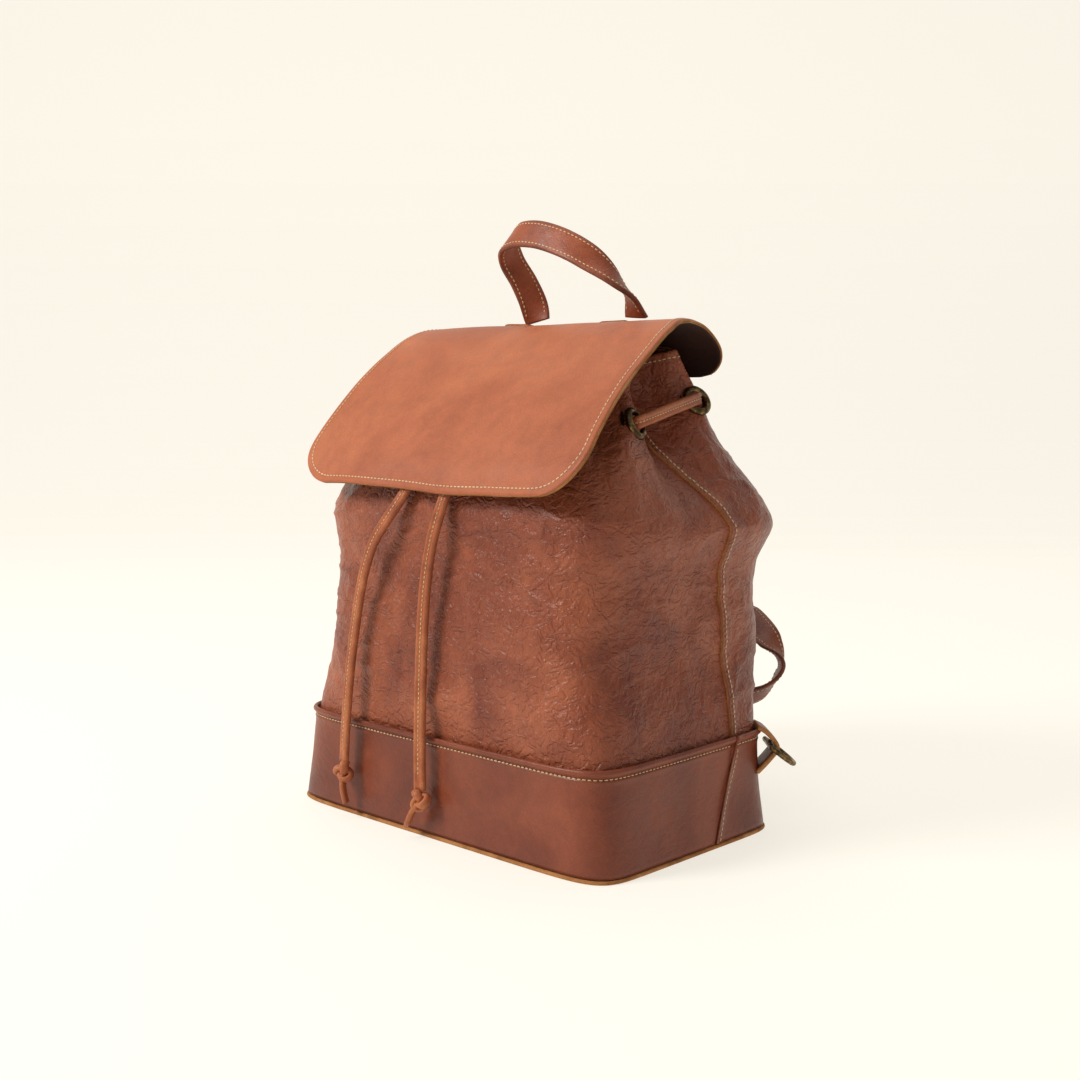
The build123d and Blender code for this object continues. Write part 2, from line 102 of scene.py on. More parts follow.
def mapped(tree, value, low, high, to_low=0.0, to_high=1.0, kind="LINEAR"):
    """A value's range stretched to another range and held there."""
    return add_node(tree, "ShaderNodeMapRange", {"interpolation_type": kind}, Value=value, From_Min=low,
                    From_Max=high, To_Min=to_low, To_Max=to_high).outputs[0]


def plain_material(name):
    """An empty material, its node tree and the place on the piece."""
    material = bpy.data.materials.new(name)
    material.use_nodes = True
    material.node_tree.nodes.clear()
    return material, material.node_tree, add_node(material.node_tree, "ShaderNodeTexCoord").outputs["Object"]


def surface(tree, **inputs):
    shader = add_node(tree, "ShaderNodeBsdfPrincipled", **inputs)
    add_node(tree, "ShaderNodeOutputMaterial", Surface=shader.outputs[0])


# %% mesh helpers
def mesh_object(name, points, faces, material, smooth=True, indices=None):
    mesh = bpy.data.meshes.new(name)
    mesh.from_pydata((np.asarray(points, float).reshape(-1, 3) * MM).tolist(), [], faces)
    mesh.polygons.foreach_set("use_smooth", [smooth] * len(mesh.polygons))
    materials = material if isinstance(material, (list, tuple)) else [material]
    for one in materials:
        mesh.materials.append(one)
    if indices is not None:
        mesh.polygons.foreach_set("material_index", indices)
    mesh.update()
    obj = bpy.data.objects.new(name, mesh)
    bpy.context.scene.collection.objects.link(obj)
    return obj


def grid_faces(rows, columns, start, flip):
    faces = []
    for r in range(rows - 1):
        for c in range(columns - 1):
            a = start + r * columns + c
            quad = (a, a + 1, a + columns + 1, a + columns)
            faces.append(quad[::-1] if flip else quad)
    return faces


def sheet_object(name, outer, inner, materials):
    """Two skins of rows x columns points with their cut edges. The first row is the lowest."""
    rows, columns = outer.shape[:2]
    n, quads = rows * columns, (rows - 1) * (columns - 1)
    faces = grid_faces(rows, columns, 0, False) + grid_faces(rows, columns, n, True)
    indices = [0] * quads + [1 % len(materials)] * quads
    border = list(range(columns))
    border += [r * columns + columns - 1 for r in range(1, rows)]
    border += [(rows - 1) * columns + c for c in range(columns - 2, -1, -1)]
    border += [r * columns for r in range(rows - 2, 0, -1)]
    for a, b in zip(border, border[1:] + border[:1]):
        faces.append((b, a, a + n, b + n))
        indices.append(2 % len(materials))
    points = np.concatenate([outer.reshape(-1, 3), inner.reshape(-1, 3)])
    obj = mesh_object(name, points, faces, materials, indices=indices)
    obj.data.polygons.foreach_set("use_smooth", [True] * (2 * quads) + [False] * len(border))
    return obj


def swept_object(name, rings, materials, ring_materials=None, closed=False):
    """Rings of points in order along a piece, each ring going round the same way, with closed ends."""
    rings = np.asarray(rings, float)
    count, m = rings.shape[:2]
    faces, indices = [], []
    for k in range(count if closed else count - 1):
        after = (k + 1) % count
        for i in range(m):
            j = (i + 1) % m
            faces.append((k * m + i, k * m + j, after * m + j, after * m + i))
            indices.append(0 if ring_materials is None else ring_materials[i])
    points = rings.reshape(-1, 3)
    if not closed:
        middles = np.array([rings[0].mean(axis=0), rings[-1].mean(axis=0)])
        points = np.concatenate([points, middles])
        for i in range(m):
            j = (i + 1) % m
            faces.append((count * m, j, i))
            faces.append((count * m + 1, (count - 1) * m + i, (count - 1) * m + j))
            indices += [len(materials) - 1] * 2 if isinstance(materials, list) else [0, 0]
    return mesh_object(name, points, faces, materials, indices=indices)


def placed(piece, slot, body, *nodes):
    """Says which nodes a piece stands for and the body that carries it. Its slot argument is not used."""
    if nodes:
        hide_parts(*nodes)
    if body:
        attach(piece, body)


print("helpers ready")

# %% [markdown]
# The wall. At each height the bag's outline is a rounded rectangle whose width, front, back and squareness
# change with height, and whose sides are tucked in where the lace gathers the mouth. A table of outlines
# with points evenly spaced round them gives the place and outward direction of any point of the leather.

# %% wall sizes and outline
body_width, body_depth, body_shift, body_height, rim_drop = 260.0, 206.0, 9.0, 326.0, 34.0
LEVELS = [  # share of the height, width, front, back, squareness, tuck
    (0.000, 18.0, -2.0, -28.0, 10.0, 0.0), (0.092, 13.0, -0.5, -28.0, 10.0, 0.0),
    (0.190, 11.0, 1.0, -26.0, 9.0, 0.0), (0.276, 6.0, 1.0, -16.0, 7.0, 0.0),
    (0.362, 0.0, 0.0, -2.0, 5.8, 0.0), (0.450, 0.0, 0.0, 0.0, 5.5, 0.0),
    (0.531, 0.0, 2.0, 4.0, 5.5, 0.0), (0.607, 9.0, 4.0, 11.0, 5.5, 0.0),
    (0.656, 7.0, 4.0, 7.0, 5.3, 4.0), (0.736, -5.0, 15.0, -7.0, 4.6, 16.0),
    (0.798, -14.0, 34.0, -20.0, 4.2, 29.0), (0.871, -22.0, 58.0, -33.0, 3.8, 40.0),
    (0.920, -25.0, 72.0, -45.0, 3.6, 41.0), (1.000, -29.0, 92.0, -62.0, 3.4, 36.0),
    (1.060, -31.0, 104.0, -74.0, 3.4, 33.0),
]
RING = 720  # places round each outline
STEP = 2.0  # between outlines
GIRTH = 900  # about the length of one way round, to turn shares into millimetres


def wall_level(height):
    share = min(max(height / body_height, 0.0), LEVELS[-1][0])
    i = max(k for k in range(len(LEVELS) - 1) if LEVELS[k][0] <= share)
    low, high = np.array(LEVELS[i]), np.array(LEVELS[i + 1])
    before, after = np.array(LEVELS[max(i - 1, 0)]), np.array(LEVELS[min(i + 2, len(LEVELS) - 1)])
    span = high[0] - low[0]
    t = (share - low[0]) / span
    start = (high - before) / (high[0] - before[0]) * span
    end = (after - low) / (after[0] - low[0]) * span
    value = (2 * t**3 - 3 * t**2 + 1) * low + (t**3 - 2 * t**2 + t) * start
    value = value + (3 * t**2 - 2 * t**3) * high + (t**3 - t**2) * end
    _, width, front, back, square, tuck = value
    front, back = front - body_depth / 2 + body_shift, back + body_depth / 2 + body_shift
    return body_width / 2 + width, front, back, square, tuck


def wall_ring(height):
    half, front, back, square, tuck = wall_level(height)
    middle, reach = (front + back) / 2, (back - front) / 2
    spread = min(24.0, 0.45 * reach)
    a = np.linspace(-pi / 2, 3 * pi / 2, 1441)
    x = half * np.abs(np.cos(a)) ** (2 / square) * np.sign(np.cos(a))
    y = middle + reach * np.abs(np.sin(a)) ** (2 / square) * np.sign(np.sin(a))
    x = x * (1 - tuck / half * np.exp(-(((y - middle) / spread) ** 2)))
    run = np.concatenate([[0], np.cumsum(np.hypot(np.diff(x), np.diff(y)))])
    at = np.linspace(0, run[-1], RING + 1)[:-1]
    return np.stack([np.interp(at, run, x), np.interp(at, run, y), np.full(RING, height)], axis=1)


WALL = np.array([wall_ring(h) for h in np.arange(0, 347, STEP)])
along = np.roll(WALL, -3, axis=1) - np.roll(WALL, 3, axis=1)
OUTWARD = np.cross(along, np.gradient(WALL, axis=0))
OUTWARD /= np.linalg.norm(OUTWARD, axis=2, keepdims=True)


def from_table(table, height, around):
    h = np.clip(np.asarray(height, float) / STEP, 0, len(table) - 1.001)
    a = (np.asarray(around, float) % 1.0) * RING
    h0, a0 = np.floor(h).astype(int), np.floor(a).astype(int)
    u, v = (h - h0)[..., None], (a - a0)[..., None]
    a0, a1 = a0 % RING, (a0 + 1) % RING
    low = table[h0, a0] * (1 - v) + table[h0, a1] * v
    return low * (1 - u) + (table[h0 + 1, a0] * (1 - v) + table[h0 + 1, a1] * v) * u


def outward(height, around):
    n = from_table(OUTWARD, height, around)
    return n / np.linalg.norm(n, axis=-1, keepdims=True)


def wall(height, around, out=0.0):
    height, around = np.broadcast_arrays(np.asarray(height, float), np.asarray(around, float))
    out = np.broadcast_to(np.asarray(out, float), height.shape)
    return from_table(WALL, height, around) + outward(height, around) * out[..., None]


def rim(around):
    return body_height - rim_drop * (1 + np.cos(2 * pi * np.asarray(around))) / 2


print("wall table", WALL.shape)

# %% [markdown]
# Soft leather is never a smooth wall. It carries broad shallow swells from being handled and finer
# wrinkles that run mostly sideways, deeper where the lace gathers it. Both come from one smooth noise of
# the place on the hide, so the same place always folds in the same way.

# %% smooth noise and folds
rng = np.random.default_rng(7)
LATTICE = rng.uniform(-1, 1, (64, 64))


def soft_noise(u, v):
    """Smooth noise from -1 to 1 of two coordinates, one swell per unit."""
    u, v = np.broadcast_arrays(np.asarray(u, float), np.asarray(v, float))
    u0, v0 = np.floor(u).astype(int), np.floor(v).astype(int)
    s, t = u - u0, v - v0
    s, t = s**3 * (s * (s * 6 - 15) + 10), t**3 * (t * (t * 6 - 15) + 10)
    a, b = LATTICE[u0 % 64, v0 % 64], LATTICE[(u0 + 1) % 64, v0 % 64]
    c, d = LATTICE[u0 % 64, (v0 + 1) % 64], LATTICE[(u0 + 1) % 64, (v0 + 1) % 64]
    return (a * (1 - s) + b * s) * (1 - t) + (c * (1 - s) + d * s) * t


def ridge(value, sharp=1.6):
    return (1 - np.abs(value)) ** sharp


def folds(height, around):
    """How far the leather stands out from the wall, in millimetres."""
    u = np.asarray(around) * GIRTH
    z = np.asarray(height, float)
    bend = 9 * soft_noise(u / 60 + 3, z / 50 + 8)
    swell = 1.5 * soft_noise(u / 95 + 5, (z + bend) / 42 + 2) + 0.8 * soft_noise(u / 38 + 9, (z + bend) / 24)
    crease = 1.2 * (ridge(soft_noise(u / 64 + 20, (z + 2 * bend) / 19 + 11), 3) - 0.4)
    crease += 0.55 * (ridge(soft_noise(u / 24 + 31, (z + 2 * bend) / 8 + 5), 3) - 0.4)
    crease += 0.22 * soft_noise(u / 7 + 51, (z + bend) / 4.5 + 15)
    slack = np.clip((z - 66) / 22, 0, 1) * np.clip((rim(around) - z) / 30, 0.15, 1)
    gather = np.clip((z - 195) / 45, 0, 1) * 2.4 * soft_noise(u / 19 + 40, z / 80 + 3)
    sag = 1.6 * np.exp(-(((z - 92) / 20) ** 2))
    return (swell + crease + gather) * slack + sag * np.clip((z - 66) / 10, 0, 1)


print("folds at mid height", round(float(folds(150.0, 0.1)), 2), "mm")

# %% [markdown]
# Full-grain cowhide, drum-dyed brown and waxed. The eye reads it by a cloudy colour that goes from dark
# brown to orange, a pebbled grain about a millimetre across, fine branching wrinkles that catch light on
# their crests, and a soft broken gloss. Painted shade darkens the colour between the pebbles and in the
# wrinkles' creases, and painted highlight lightens the pebble tops and the crests. The patterns read the
# piece's own place, in metres, and every scale is one over a real size.

# %% leather material
def leather(name, dark, middle, light, pebble_mm=1.1, pebble=0.10, wrinkle_mm=9.0, wrinkle=0.35,
            rough=(0.36, 0.56), cloud_mm=55.0, coat=0.10):
    material, tree, place = plain_material(name)
    cloud = noise(tree, place, cloud_mm, 4.0, Roughness=0.55, Distortion=0.6)
    mottle = noise(tree, place, cloud_mm / 7, 6.0, Roughness=0.62, Distortion=0.9)
    grain = add_node(tree, "ShaderNodeTexVoronoi", {"feature": "SMOOTH_F1"}, Vector=place,
                     Scale=1000 / pebble_mm, Smoothness=0.6).outputs["Distance"]
    pores = noise(tree, place, pebble_mm * 0.7, 3.0)
    bent = add_node(tree, "ShaderNodeTexNoise", Vector=place, Scale=1000 / (wrinkle_mm * 2.4),
                    Detail=3.0).outputs["Color"]
    shifted = add_node(tree, "ShaderNodeVectorMath", {"operation": "MULTIPLY_ADD"}, in_0=bent,
                       in_1=(0.022, 0.022, 0.022), in_2=place).outputs[0]
    flattened = add_node(tree, "ShaderNodeMapping", Vector=shifted, Scale=(0.62, 0.62, 1.25)).outputs[0]
    veins = add_node(tree, "ShaderNodeTexVoronoi", {"feature": "DISTANCE_TO_EDGE"}, Vector=flattened,
                     Scale=1000 / wrinkle_mm).outputs["Distance"]
    crest = mapped(tree, veins, 0.0, 0.30, kind="SMOOTHSTEP")
    fine = add_node(tree, "ShaderNodeTexNoise", {"noise_type": "RIDGED_MULTIFRACTAL"}, Vector=flattened,
                    Scale=1000 / (wrinkle_mm * 2.3), Detail=2.6, Roughness=0.5).outputs["Fac"]
    tone = add_node(tree, "ShaderNodeValToRGB", Fac=mapped(tree, cloud, 0.30, 0.72))
    ramp = tone.color_ramp
    ramp.elements[0].position, ramp.elements[0].color = 0.0, to_linear(dark)
    ramp.elements[1].position, ramp.elements[1].color = 1.0, to_linear(light)
    ramp.elements.new(0.5).color = to_linear(middle)
    mottled = mapped(tree, mottle, 0.3, 0.72, 0.88, 1.10)
    # Painted shade: the colour is darker in the crevices between the pebbles and a little lighter on the pebble
    # tops.
    grain_crevice_shade = mapped(tree, grain, 0.0, 0.55, 1.06, 0.88)
    # Painted shade and highlight: the colour is darker in the wrinkles' creases and lighter on their crests, the
    # same ridges that the bump raises.
    crease_shade = mapped(tree, fine, 0.2, 1.1, 1.0 - 0.22 * wrinkle, 1.0 + 0.16 * wrinkle)
    shade = add_node(tree, "ShaderNodeMath", {"operation": "MULTIPLY"}, in_0=mottled, in_1=grain_crevice_shade).outputs[0]
    shade = add_node(tree, "ShaderNodeMath", {"operation": "MULTIPLY"}, in_0=shade, in_1=crease_shade).outputs[0]
    colour = add_node(tree, "ShaderNodeVectorMath", {"operation": "SCALE"}, in_0=tone.outputs["Color"],
                      Scale=shade).outputs[0]
    low = add_node(tree, "ShaderNodeBump", Strength=1.0, Distance=0.0009 * wrinkle, Height=crest)
    mid = add_node(tree, "ShaderNodeBump", Strength=1.0, Distance=0.0012 * wrinkle, Height=fine,
                   Normal=low.outputs[0])
    pebbled = add_node(tree, "ShaderNodeBump", {"invert": True}, Strength=1.0, Distance=0.0022 * pebble,
                       Height=grain, Normal=mid.outputs[0])
    top = add_node(tree, "ShaderNodeBump", Strength=1.0, Distance=0.0006 * pebble, Height=pores,
                   Normal=pebbled.outputs[0])
    surface(tree, Base_Color=colour, Roughness=mapped(tree, mottle, 0.3, 0.7, *rough), Normal=top.outputs[0],
            IOR=1.5, Specular_IOR_Level=0.30, Coat_Weight=coat, Coat_Roughness=0.28)
    material.diffuse_color = to_linear(middle)
    return material


body_leather = leather("milled_cowhide_waxed", "#7E3B27", "#9B5033", "#B26444", wrinkle=0.62, pebble=0.12,
                       rough=(0.30, 0.47), wrinkle_mm=6.0)
band_leather = leather("smooth_cowhide_waxed", "#5E2A1B", "#783823", "#8E492F", wrinkle=0.10,
                       pebble=0.05, rough=(0.30, 0.48), cloud_mm=80.0)
flap_leather = leather("pull_up_cowhide", "#9C5030", "#AD5F3B", "#BB6C43", wrinkle=0.07, pebble=0.045,
                       rough=(0.42, 0.58), cloud_mm=90.0, coat=0.04)
strap_leather = leather("bridle_leather", "#5E2D1E", "#84472F", "#9A5638", wrinkle=0.10, pebble=0.07,
                        cloud_mm=40.0)
handle_leather = leather("bridle_leather_light", "#7A3A20", "#94492A", "#A85A36", wrinkle=0.10,
                         pebble=0.07, cloud_mm=40.0, coat=0.03)
lace_leather = leather("folded_lace_leather", "#88462A", "#A95C36", "#BF7347", wrinkle=0.12,
                       pebble=0.09, cloud_mm=30.0)
raw_edge = leather("raw_cut_edge", "#96602F", "#B87C48", "#CC935C", wrinkle=0.05, pebble=0.20,
                   pebble_mm=0.5, rough=(0.7, 0.85), coat=0.0, cloud_mm=20.0)
flesh_side = leather("suede_flesh_side", "#2C1710", "#3E2218", "#523022", wrinkle=0.04, pebble=0.22,
                     pebble_mm=0.6, rough=(0.85, 0.95), coat=0.0)
print("leathers", len(bpy.data.materials))

# %% [markdown]
# Three other finishes: waxed linen thread, twisted from three plies; antique brass, whose brown patina is
# rubbed bright on the high places; and the cotton twill of the lining with its slanting ribs.

# %% thread, brass and twill
def two_tones(tree, share, first, second):
    return add_node(tree, "ShaderNodeMix", {"data_type": "RGBA"}, Factor=share, in_6=to_linear(first),
                    in_7=to_linear(second)).outputs[2]


def relief(tree, height, strength, depth):
    return add_node(tree, "ShaderNodeBump", Strength=strength, Distance=depth, Height=height).outputs[0]


linen_thread, tree, place = plain_material("waxed_linen_thread")
tint = two_tones(tree, noise(tree, place, 25, 3.0), "#B99468", "#E2CDA6")
surface(tree, Base_Color=tint, Roughness=0.7, IOR=1.5,
        Normal=relief(tree, noise(tree, place, 0.6, 2.0), 0.7, 0.0002))

old_brass, tree, place = plain_material("antique_brass_turned")
patina = noise(tree, place, 4, 5.0, Roughness=0.65)
tint = two_tones(tree, mapped(tree, patina, 0.45, 0.68), "#4A3A26", "#9A7D50")
surface(tree, Base_Color=tint, Metallic=1.0, Roughness=mapped(tree, patina, 0.3, 0.7, 0.5, 0.26),
        Normal=relief(tree, patina, 0.3, 0.0001))

twill, tree, place = plain_material("cotton_twill_woven")
ribs = add_node(tree, "ShaderNodeTexWave", {"bands_direction": "DIAGONAL"}, Vector=place,
                Scale=1000 / 1.6 / 20, Distortion=0.4, Detail=1.0).outputs["Fac"]
surface(tree, Base_Color=two_tones(tree, ribs, "#3B2C20", "#5A4633"), Roughness=0.9, IOR=1.5,
        Normal=relief(tree, ribs, 0.6, 0.0003))
print("materials", [m.name for m in bpy.data.materials])

# %% [markdown]
# The laces are the free cords. Each is a folded and stitched strip, 8.6 mm wide and 4.4 mm thick,
# that leaves a front eyelet, hangs down the front and ends in an overhand knot. A spline through the
# pattern's route gives its line, and a flat section is carried along it with its wide face outwards.

# %% lace routes
LACE_RIGHT = [(16, -59.9, 258.2), (16, -65.2, 263.5), (16, -72.8, 256.8), (16.2, -86, 241),
              (15.8, -92.5, 229), (14.2, -97.2, 217), (8.5, -99.4, 199), (3, -100, 176),
              (-0.5, -100.4, 147), (-2.6, -100.6, 112), (-3.3, -101.2, 80), (-2.4, -102.6, 52),
              (-0.8, -103.8, 33)]
LACE_LEFT = [(-16, -59.9, 258.2), (-16, -65.2, 263.5), (-16.2, -72.8, 256.8), (-18, -86, 241),
             (-21.5, -92.5, 229), (-27, -97.2, 217), (-37, -99.3, 205), (-50, -100, 190),
             (-60.5, -100.4, 166), (-67.5, -100.6, 137), (-73.5, -101.2, 105), (-77, -101.8, 76),
             (-78, -103, 54), (-78.4, -103.8, 38)]


def spline_path(points, resolution=12):
    """Points, in millimetres, read along the NURBS spline of a route."""
    data = bpy.data.curves.new("route", "CURVE")
    data.dimensions = "3D"
    spline = data.splines.new("NURBS")
    spline.points.add(len(points) - 1)
    for point, place in zip(spline.points, points):
        point.co = (place[0] * MM, place[1] * MM, place[2] * MM, 1.0)
    spline.order_u = 3
    spline.use_endpoint_u = True
    spline.resolution_u = resolution
    obj = bpy.data.objects.new("route", data)
    mesh = bpy.data.meshes.new_from_object(obj)
    path = np.array([v.co for v in mesh.vertices]) / MM
    bpy.data.meshes.remove(mesh)
    bpy.data.objects.remove(obj)
    bpy.data.curves.remove(data)
    return path


def frames(path, wide):
    """Unit vectors along, across and out of the wide face at each point of a path."""
    way = np.gradient(path, axis=0)
    way /= np.linalg.norm(way, axis=1, keepdims=True)
    wide = np.broadcast_to(np.asarray(wide, float), path.shape)
    across = wide - way * (wide * way).sum(axis=1, keepdims=True)
    across /= np.linalg.norm(across, axis=1, keepdims=True)
    return way, across, np.cross(across, way)


def flat_section(width, thickness, dip=0.0, corner=3):
    """A strip's section with rounded edges and a shallow furrow along its middle."""
    r = thickness / 2
    points = []
    for side in (1, -1):
        for k in range(corner * 2 + 1):
            a = pi / 2 - pi * k / (corner * 2)
            points.append((side * (width / 2 - r + r * cos(a)), side * r * sin(a)))
        points.append((-side * width / 6, -side * (r - dip * 0.6)))
        points.append((-side * 0.001, -side * (r - dip)))
        points.append((side * width / 6, -side * (r - dip * 0.6)))
    return np.array(sorted(points, key=lambda p: np.arctan2(p[1] * width, p[0] * thickness)))


def strip_rings(path, wide, section, scale=None):
    way, across, face = frames(path, wide)
    scale = np.ones(len(path)) if scale is None else scale
    return (path[:, None] + across[:, None] * section[None, :, :1] * scale[:, None, None]
            + face[:, None] * section[None, :, 1:] * scale[:, None, None])


def path_length(path):
    return float(np.linalg.norm(np.diff(path, axis=0), axis=1).sum())


lace_section = flat_section(8.6, 4.4, dip=0.7)
STITCH_LINES = {}


def stitch_line(body, points, pitch=3.3, size=1.0):
    STITCH_LINES.setdefault((body, round(pitch, 2), size), []).append(np.asarray(points, float))


# %% hanging laces and their knots
def overhand(centre, turn, size=2.1, radius=2.5):
    """A strip pulled into a tight overhand knot, as a closed trefoil."""
    t = np.linspace(0, tau, 97)[:-1]
    knot = np.stack([np.sin(t) + 2 * np.sin(2 * t), -np.sin(3 * t) * 1.15, np.cos(t) - 2 * np.cos(2 * t)], 1)
    knot = knot * size
    spin = np.array(Matrix.Rotation(turn, 3, "Y"))
    knot = knot @ spin.T + np.asarray(centre)
    way = np.roll(knot, -1, axis=0) - np.roll(knot, 1, axis=0)
    way /= np.linalg.norm(way, axis=1, keepdims=True)
    away = knot - np.asarray(centre)
    away = away - way * (away * way).sum(axis=1, keepdims=True)
    away /= np.linalg.norm(away, axis=1, keepdims=True)
    side = np.cross(way, away)
    a = np.linspace(0, tau, 13)[:-1]
    return knot[:, None] + (away[:, None] * np.sin(a)[None, :, None] * radius * 0.8
                            + side[:, None] * np.cos(a)[None, :, None] * radius * 1.25)


for side, route, tail, turn in (("right", LACE_RIGHT, (-11, -1, -17), 0.4),
                                ("left", LACE_LEFT, (3, -1, -20), 1.3)):
    path = spline_path(route)
    twist = np.linspace(0, 1, len(path))[:, None]
    wide = np.array([1.0, 0, 0]) + twist * np.array([0, 0.25 if side == "right" else -0.2, 0])
    piece = swept_object("lace_end_" + side + "_visual", strip_rings(path, wide, lace_section), [lace_leather])
    way, across, face = frames(path, wide)
    if face[len(path) // 2][1] > 0:
        face = -face
    stitch_line("bag", (path + face * 1.75)[14:-4], 3.0, 0.8)
    middle = path[-1] + way[-1] * 6.5
    knot = swept_object("lace_knot_" + side + "_visual", overhand(middle, turn), [lace_leather], closed=True)
    tail_path = np.array([middle + np.array(tail) * s + np.array([0, -1.5, 0]) * sin(pi * s)
                          for s in np.linspace(0.1, 1.06, 12)])
    tail_piece = swept_object("lace_tail_" + side + "_visual",
                              strip_rings(tail_path, (0.4, -0.7, 0.2), flat_section(7.0, 3.4, 0.4)),
                              [lace_leather])
    placed(piece, "lace_leather", "bag", "lace_end_" + side)
    placed(knot, "lace_leather", "bag", "lace_knot_" + side)
    placed(tail_piece, "lace_leather", "bag")

# %% [markdown]
# The body is a front and a back panel that meet at the sides, where the back's edge lies over the front's
# and is sewn down. Each is a sheet 1.8 mm thick laid behind the band, on the wall with its folds added.

# %% body panels
body_inset, body_thick = 2.1, 1.8
eyelet_depth = 33.0


def find_around(height, want, low, high, axis):
    """The share of the way round where the wall reaches a wanted x (axis 0) or y (axis 1)."""
    sign = 1 if wall(height, high)[axis] > wall(height, low)[axis] else -1
    for _ in range(40):
        middle = (low + high) / 2
        if (wall(height, middle)[axis] - want) * sign < 0:
            low = middle
        else:
            high = middle
    return (low + high) / 2


SEAM_Y = [(0, 12), (60, 42), (130, 44), (205, 40), (222, 30), (240, 14), (262, 12)]
seam_heights = np.arange(0, 346, 5.0)
seam_table = np.array([find_around(z, np.interp(z, *zip(*SEAM_Y)), 0.15, 0.38, 1) if z < 250 else 0.243
                       for z in seam_heights])
for _ in range(4):
    seam_table[1:-1] = (seam_table[:-2] + 2 * seam_table[1:-1] + seam_table[2:]) / 4


def seam(height):
    """The side seam's share of the way round: well back on the side, and forward into the tuck above."""
    return np.interp(height, seam_heights, seam_table)


def panel(name, low, high, start, end, inset, thick, materials, rows, columns, lift=0.0, fold=1.0):
    share = np.linspace(0, 1, rows)[:, None]
    across = np.linspace(0, 1, columns)[None, :]
    around = start(200.0) + (end(200.0) - start(200.0)) * across
    for _ in range(3):
        bottom = low(around) if callable(low) else low
        top = high(around) if callable(high) else high
        height = bottom + (top - bottom) * share + 0 * around
        around = start(height) + (end(height) - start(height)) * across
    edge = np.minimum(np.abs(around - start(height)), np.abs(around - end(height))) * GIRTH
    out = -inset + folds(height, around) * fold + lift * np.exp(-((edge / 9) ** 2))
    skin = wall(height, around, out)
    back = wall(height, around, out - thick)
    return sheet_object(name, skin, back, materials)


skins = [body_leather, flesh_side, raw_edge]
body_front = panel("body_front_visual", 57, rim, lambda z: -seam(z) - 0.006, lambda z: seam(z) + 0.006,
                   body_inset, body_thick, skins, 160, 280)
body_back = panel("body_back_visual", 57, rim, lambda z: seam(z) - 0.002, lambda z: 1.002 - seam(z),
                  body_inset, body_thick, skins, 155, 280, lift=1.6)
facing = panel("mouth_facing_visual", lambda a: rim(a) - 48, lambda a: rim(a) + 0.4, lambda z: 0.0,
               lambda z: 0.9999, body_inset + body_thick + 1.6, 1.0, [flesh_side, body_leather, raw_edge], 40, 640)
lining = panel("lining_visual", 6, lambda a: rim(a) - 47, lambda z: 0.0, lambda z: 0.9999,
               body_inset + body_thick + 3.2, 0.7, [twill], 110, 320)
placed(body_front, "body_leather", "bag", "body_front")
placed(body_back, "body_leather", "bag", "body_back")
placed(facing, "facing_leather", "bag", "mouth_facing_front", "mouth_facing_back")
placed(lining, "lining_cloth", "bag", "lining_front", "lining_back")
for side in (1, -1):
    z = np.linspace(69, 300, 160)
    a = side * (seam(z) + 0.0032)
    stitch_line("bag", wall(z, a, -body_inset + folds(z, a) + 1.6))
around = np.linspace(-0.5, 0.5, 500)
stitch_line("bag", wall(rim(around) - 4.5, around, -body_inset + folds(rim(around) - 4.5, around) + 0.1))
print("body panels", len(body_front.data.vertices), len(body_back.data.vertices))

# %% [markdown]
# The band is smoother leather round the foot of the bag. Its top edge is folded over, so it stands proud as
# a soft roll with a row of stitches under it. The base is a flat panel whose raw edge shows below the band.

# %% band and base
def band_profile():
    """How far the band stands out at each height: up its outside, over the rolled lip and down inside."""
    out = [(0.0, 2.9), (0.1, 6), (0.2, 14), (0.2, 24), (0.1, 34), (0.1, 44), (0.0, 52), (0.0, 56), (0.25, 58.5),
           (0.7, 59.6), (0.25, 60.4), (-0.35, 61.0), (0.4, 61.8), (1.4, 62.6)]
    lip = [(1.3 + 1.5 * cos(a), 64.6 + 1.9 * sin(a)) for a in np.linspace(-0.7, pi * 0.95, 9)]
    return np.array(out + lip + [(-1.75, 63.0), (-1.8, 50), (-1.8, 30), (-1.7, 3.0)])


profile = band_profile()
for name in ("front", "back"):
    share = np.linspace(0, 1, 300)
    around = -0.245 + 0.49 * share if name == "front" else 0.2456 + 0.5088 * share
    swell = 0.5 * soft_noise(around * GIRTH / 45 + 2, 0.3) + 0.25 * soft_noise(around * GIRTH / 18 + 7, 0.7)
    wave = 0.35 * soft_noise(around * GIRTH / 34 + 12, 1.4)
    lift = 1.1 * np.exp(-((np.minimum(share, 1 - share) * 450 / 5) ** 2)) * (name == "back")
    rings = []
    for k, part in enumerate(share):
        height = profile[:, 1] + wave[k] * np.clip((profile[:, 1] - 50) / 12, 0, 1)
        edge = seam(height) - 0.0004
        a = edge * (2 * part - 1) if name == "front" else edge + 0.0008 + (0.9992 - 2 * edge) * part
        belly = swell[k] * np.sin(np.clip(profile[:, 1] / 60, 0, 1) * pi)
        rings.append(wall(height, a, profile[:, 0] + belly + lift[k]))
    band = swept_object("band_" + name + "_visual", np.array(rings)[:, ::-1], [band_leather])
    placed(band, "band_leather", "bag", "band_" + name)
    edge = float(seam(60.9))
    at = edge * (2 * share - 1) if name == "front" else edge + (1 - 2 * edge) * share
    line = [wall(60.9 + wave[k] * 0.9, at[k], 0.15 + swell[k] * 0.02 + lift[k]) for k in range(300)]
    stitch_line("bag", np.array(line)[3:-3])
for side in (1, -1):
    z = np.linspace(5, 57, 30)
    stitch_line("bag", wall(z, side * (seam(z) + 0.0042), 0.95 + 0 * z))
edge = [(0.3, 0.0), (0.8, 0.4), (1.0, 1.1), (0.8, 1.8), (0.3, 2.3), (-3, 2.4), (-3, 0.0)]
ROUND, ACROSS = 360, 24  # places round the base, and rings from its edge to its middle
rings = []
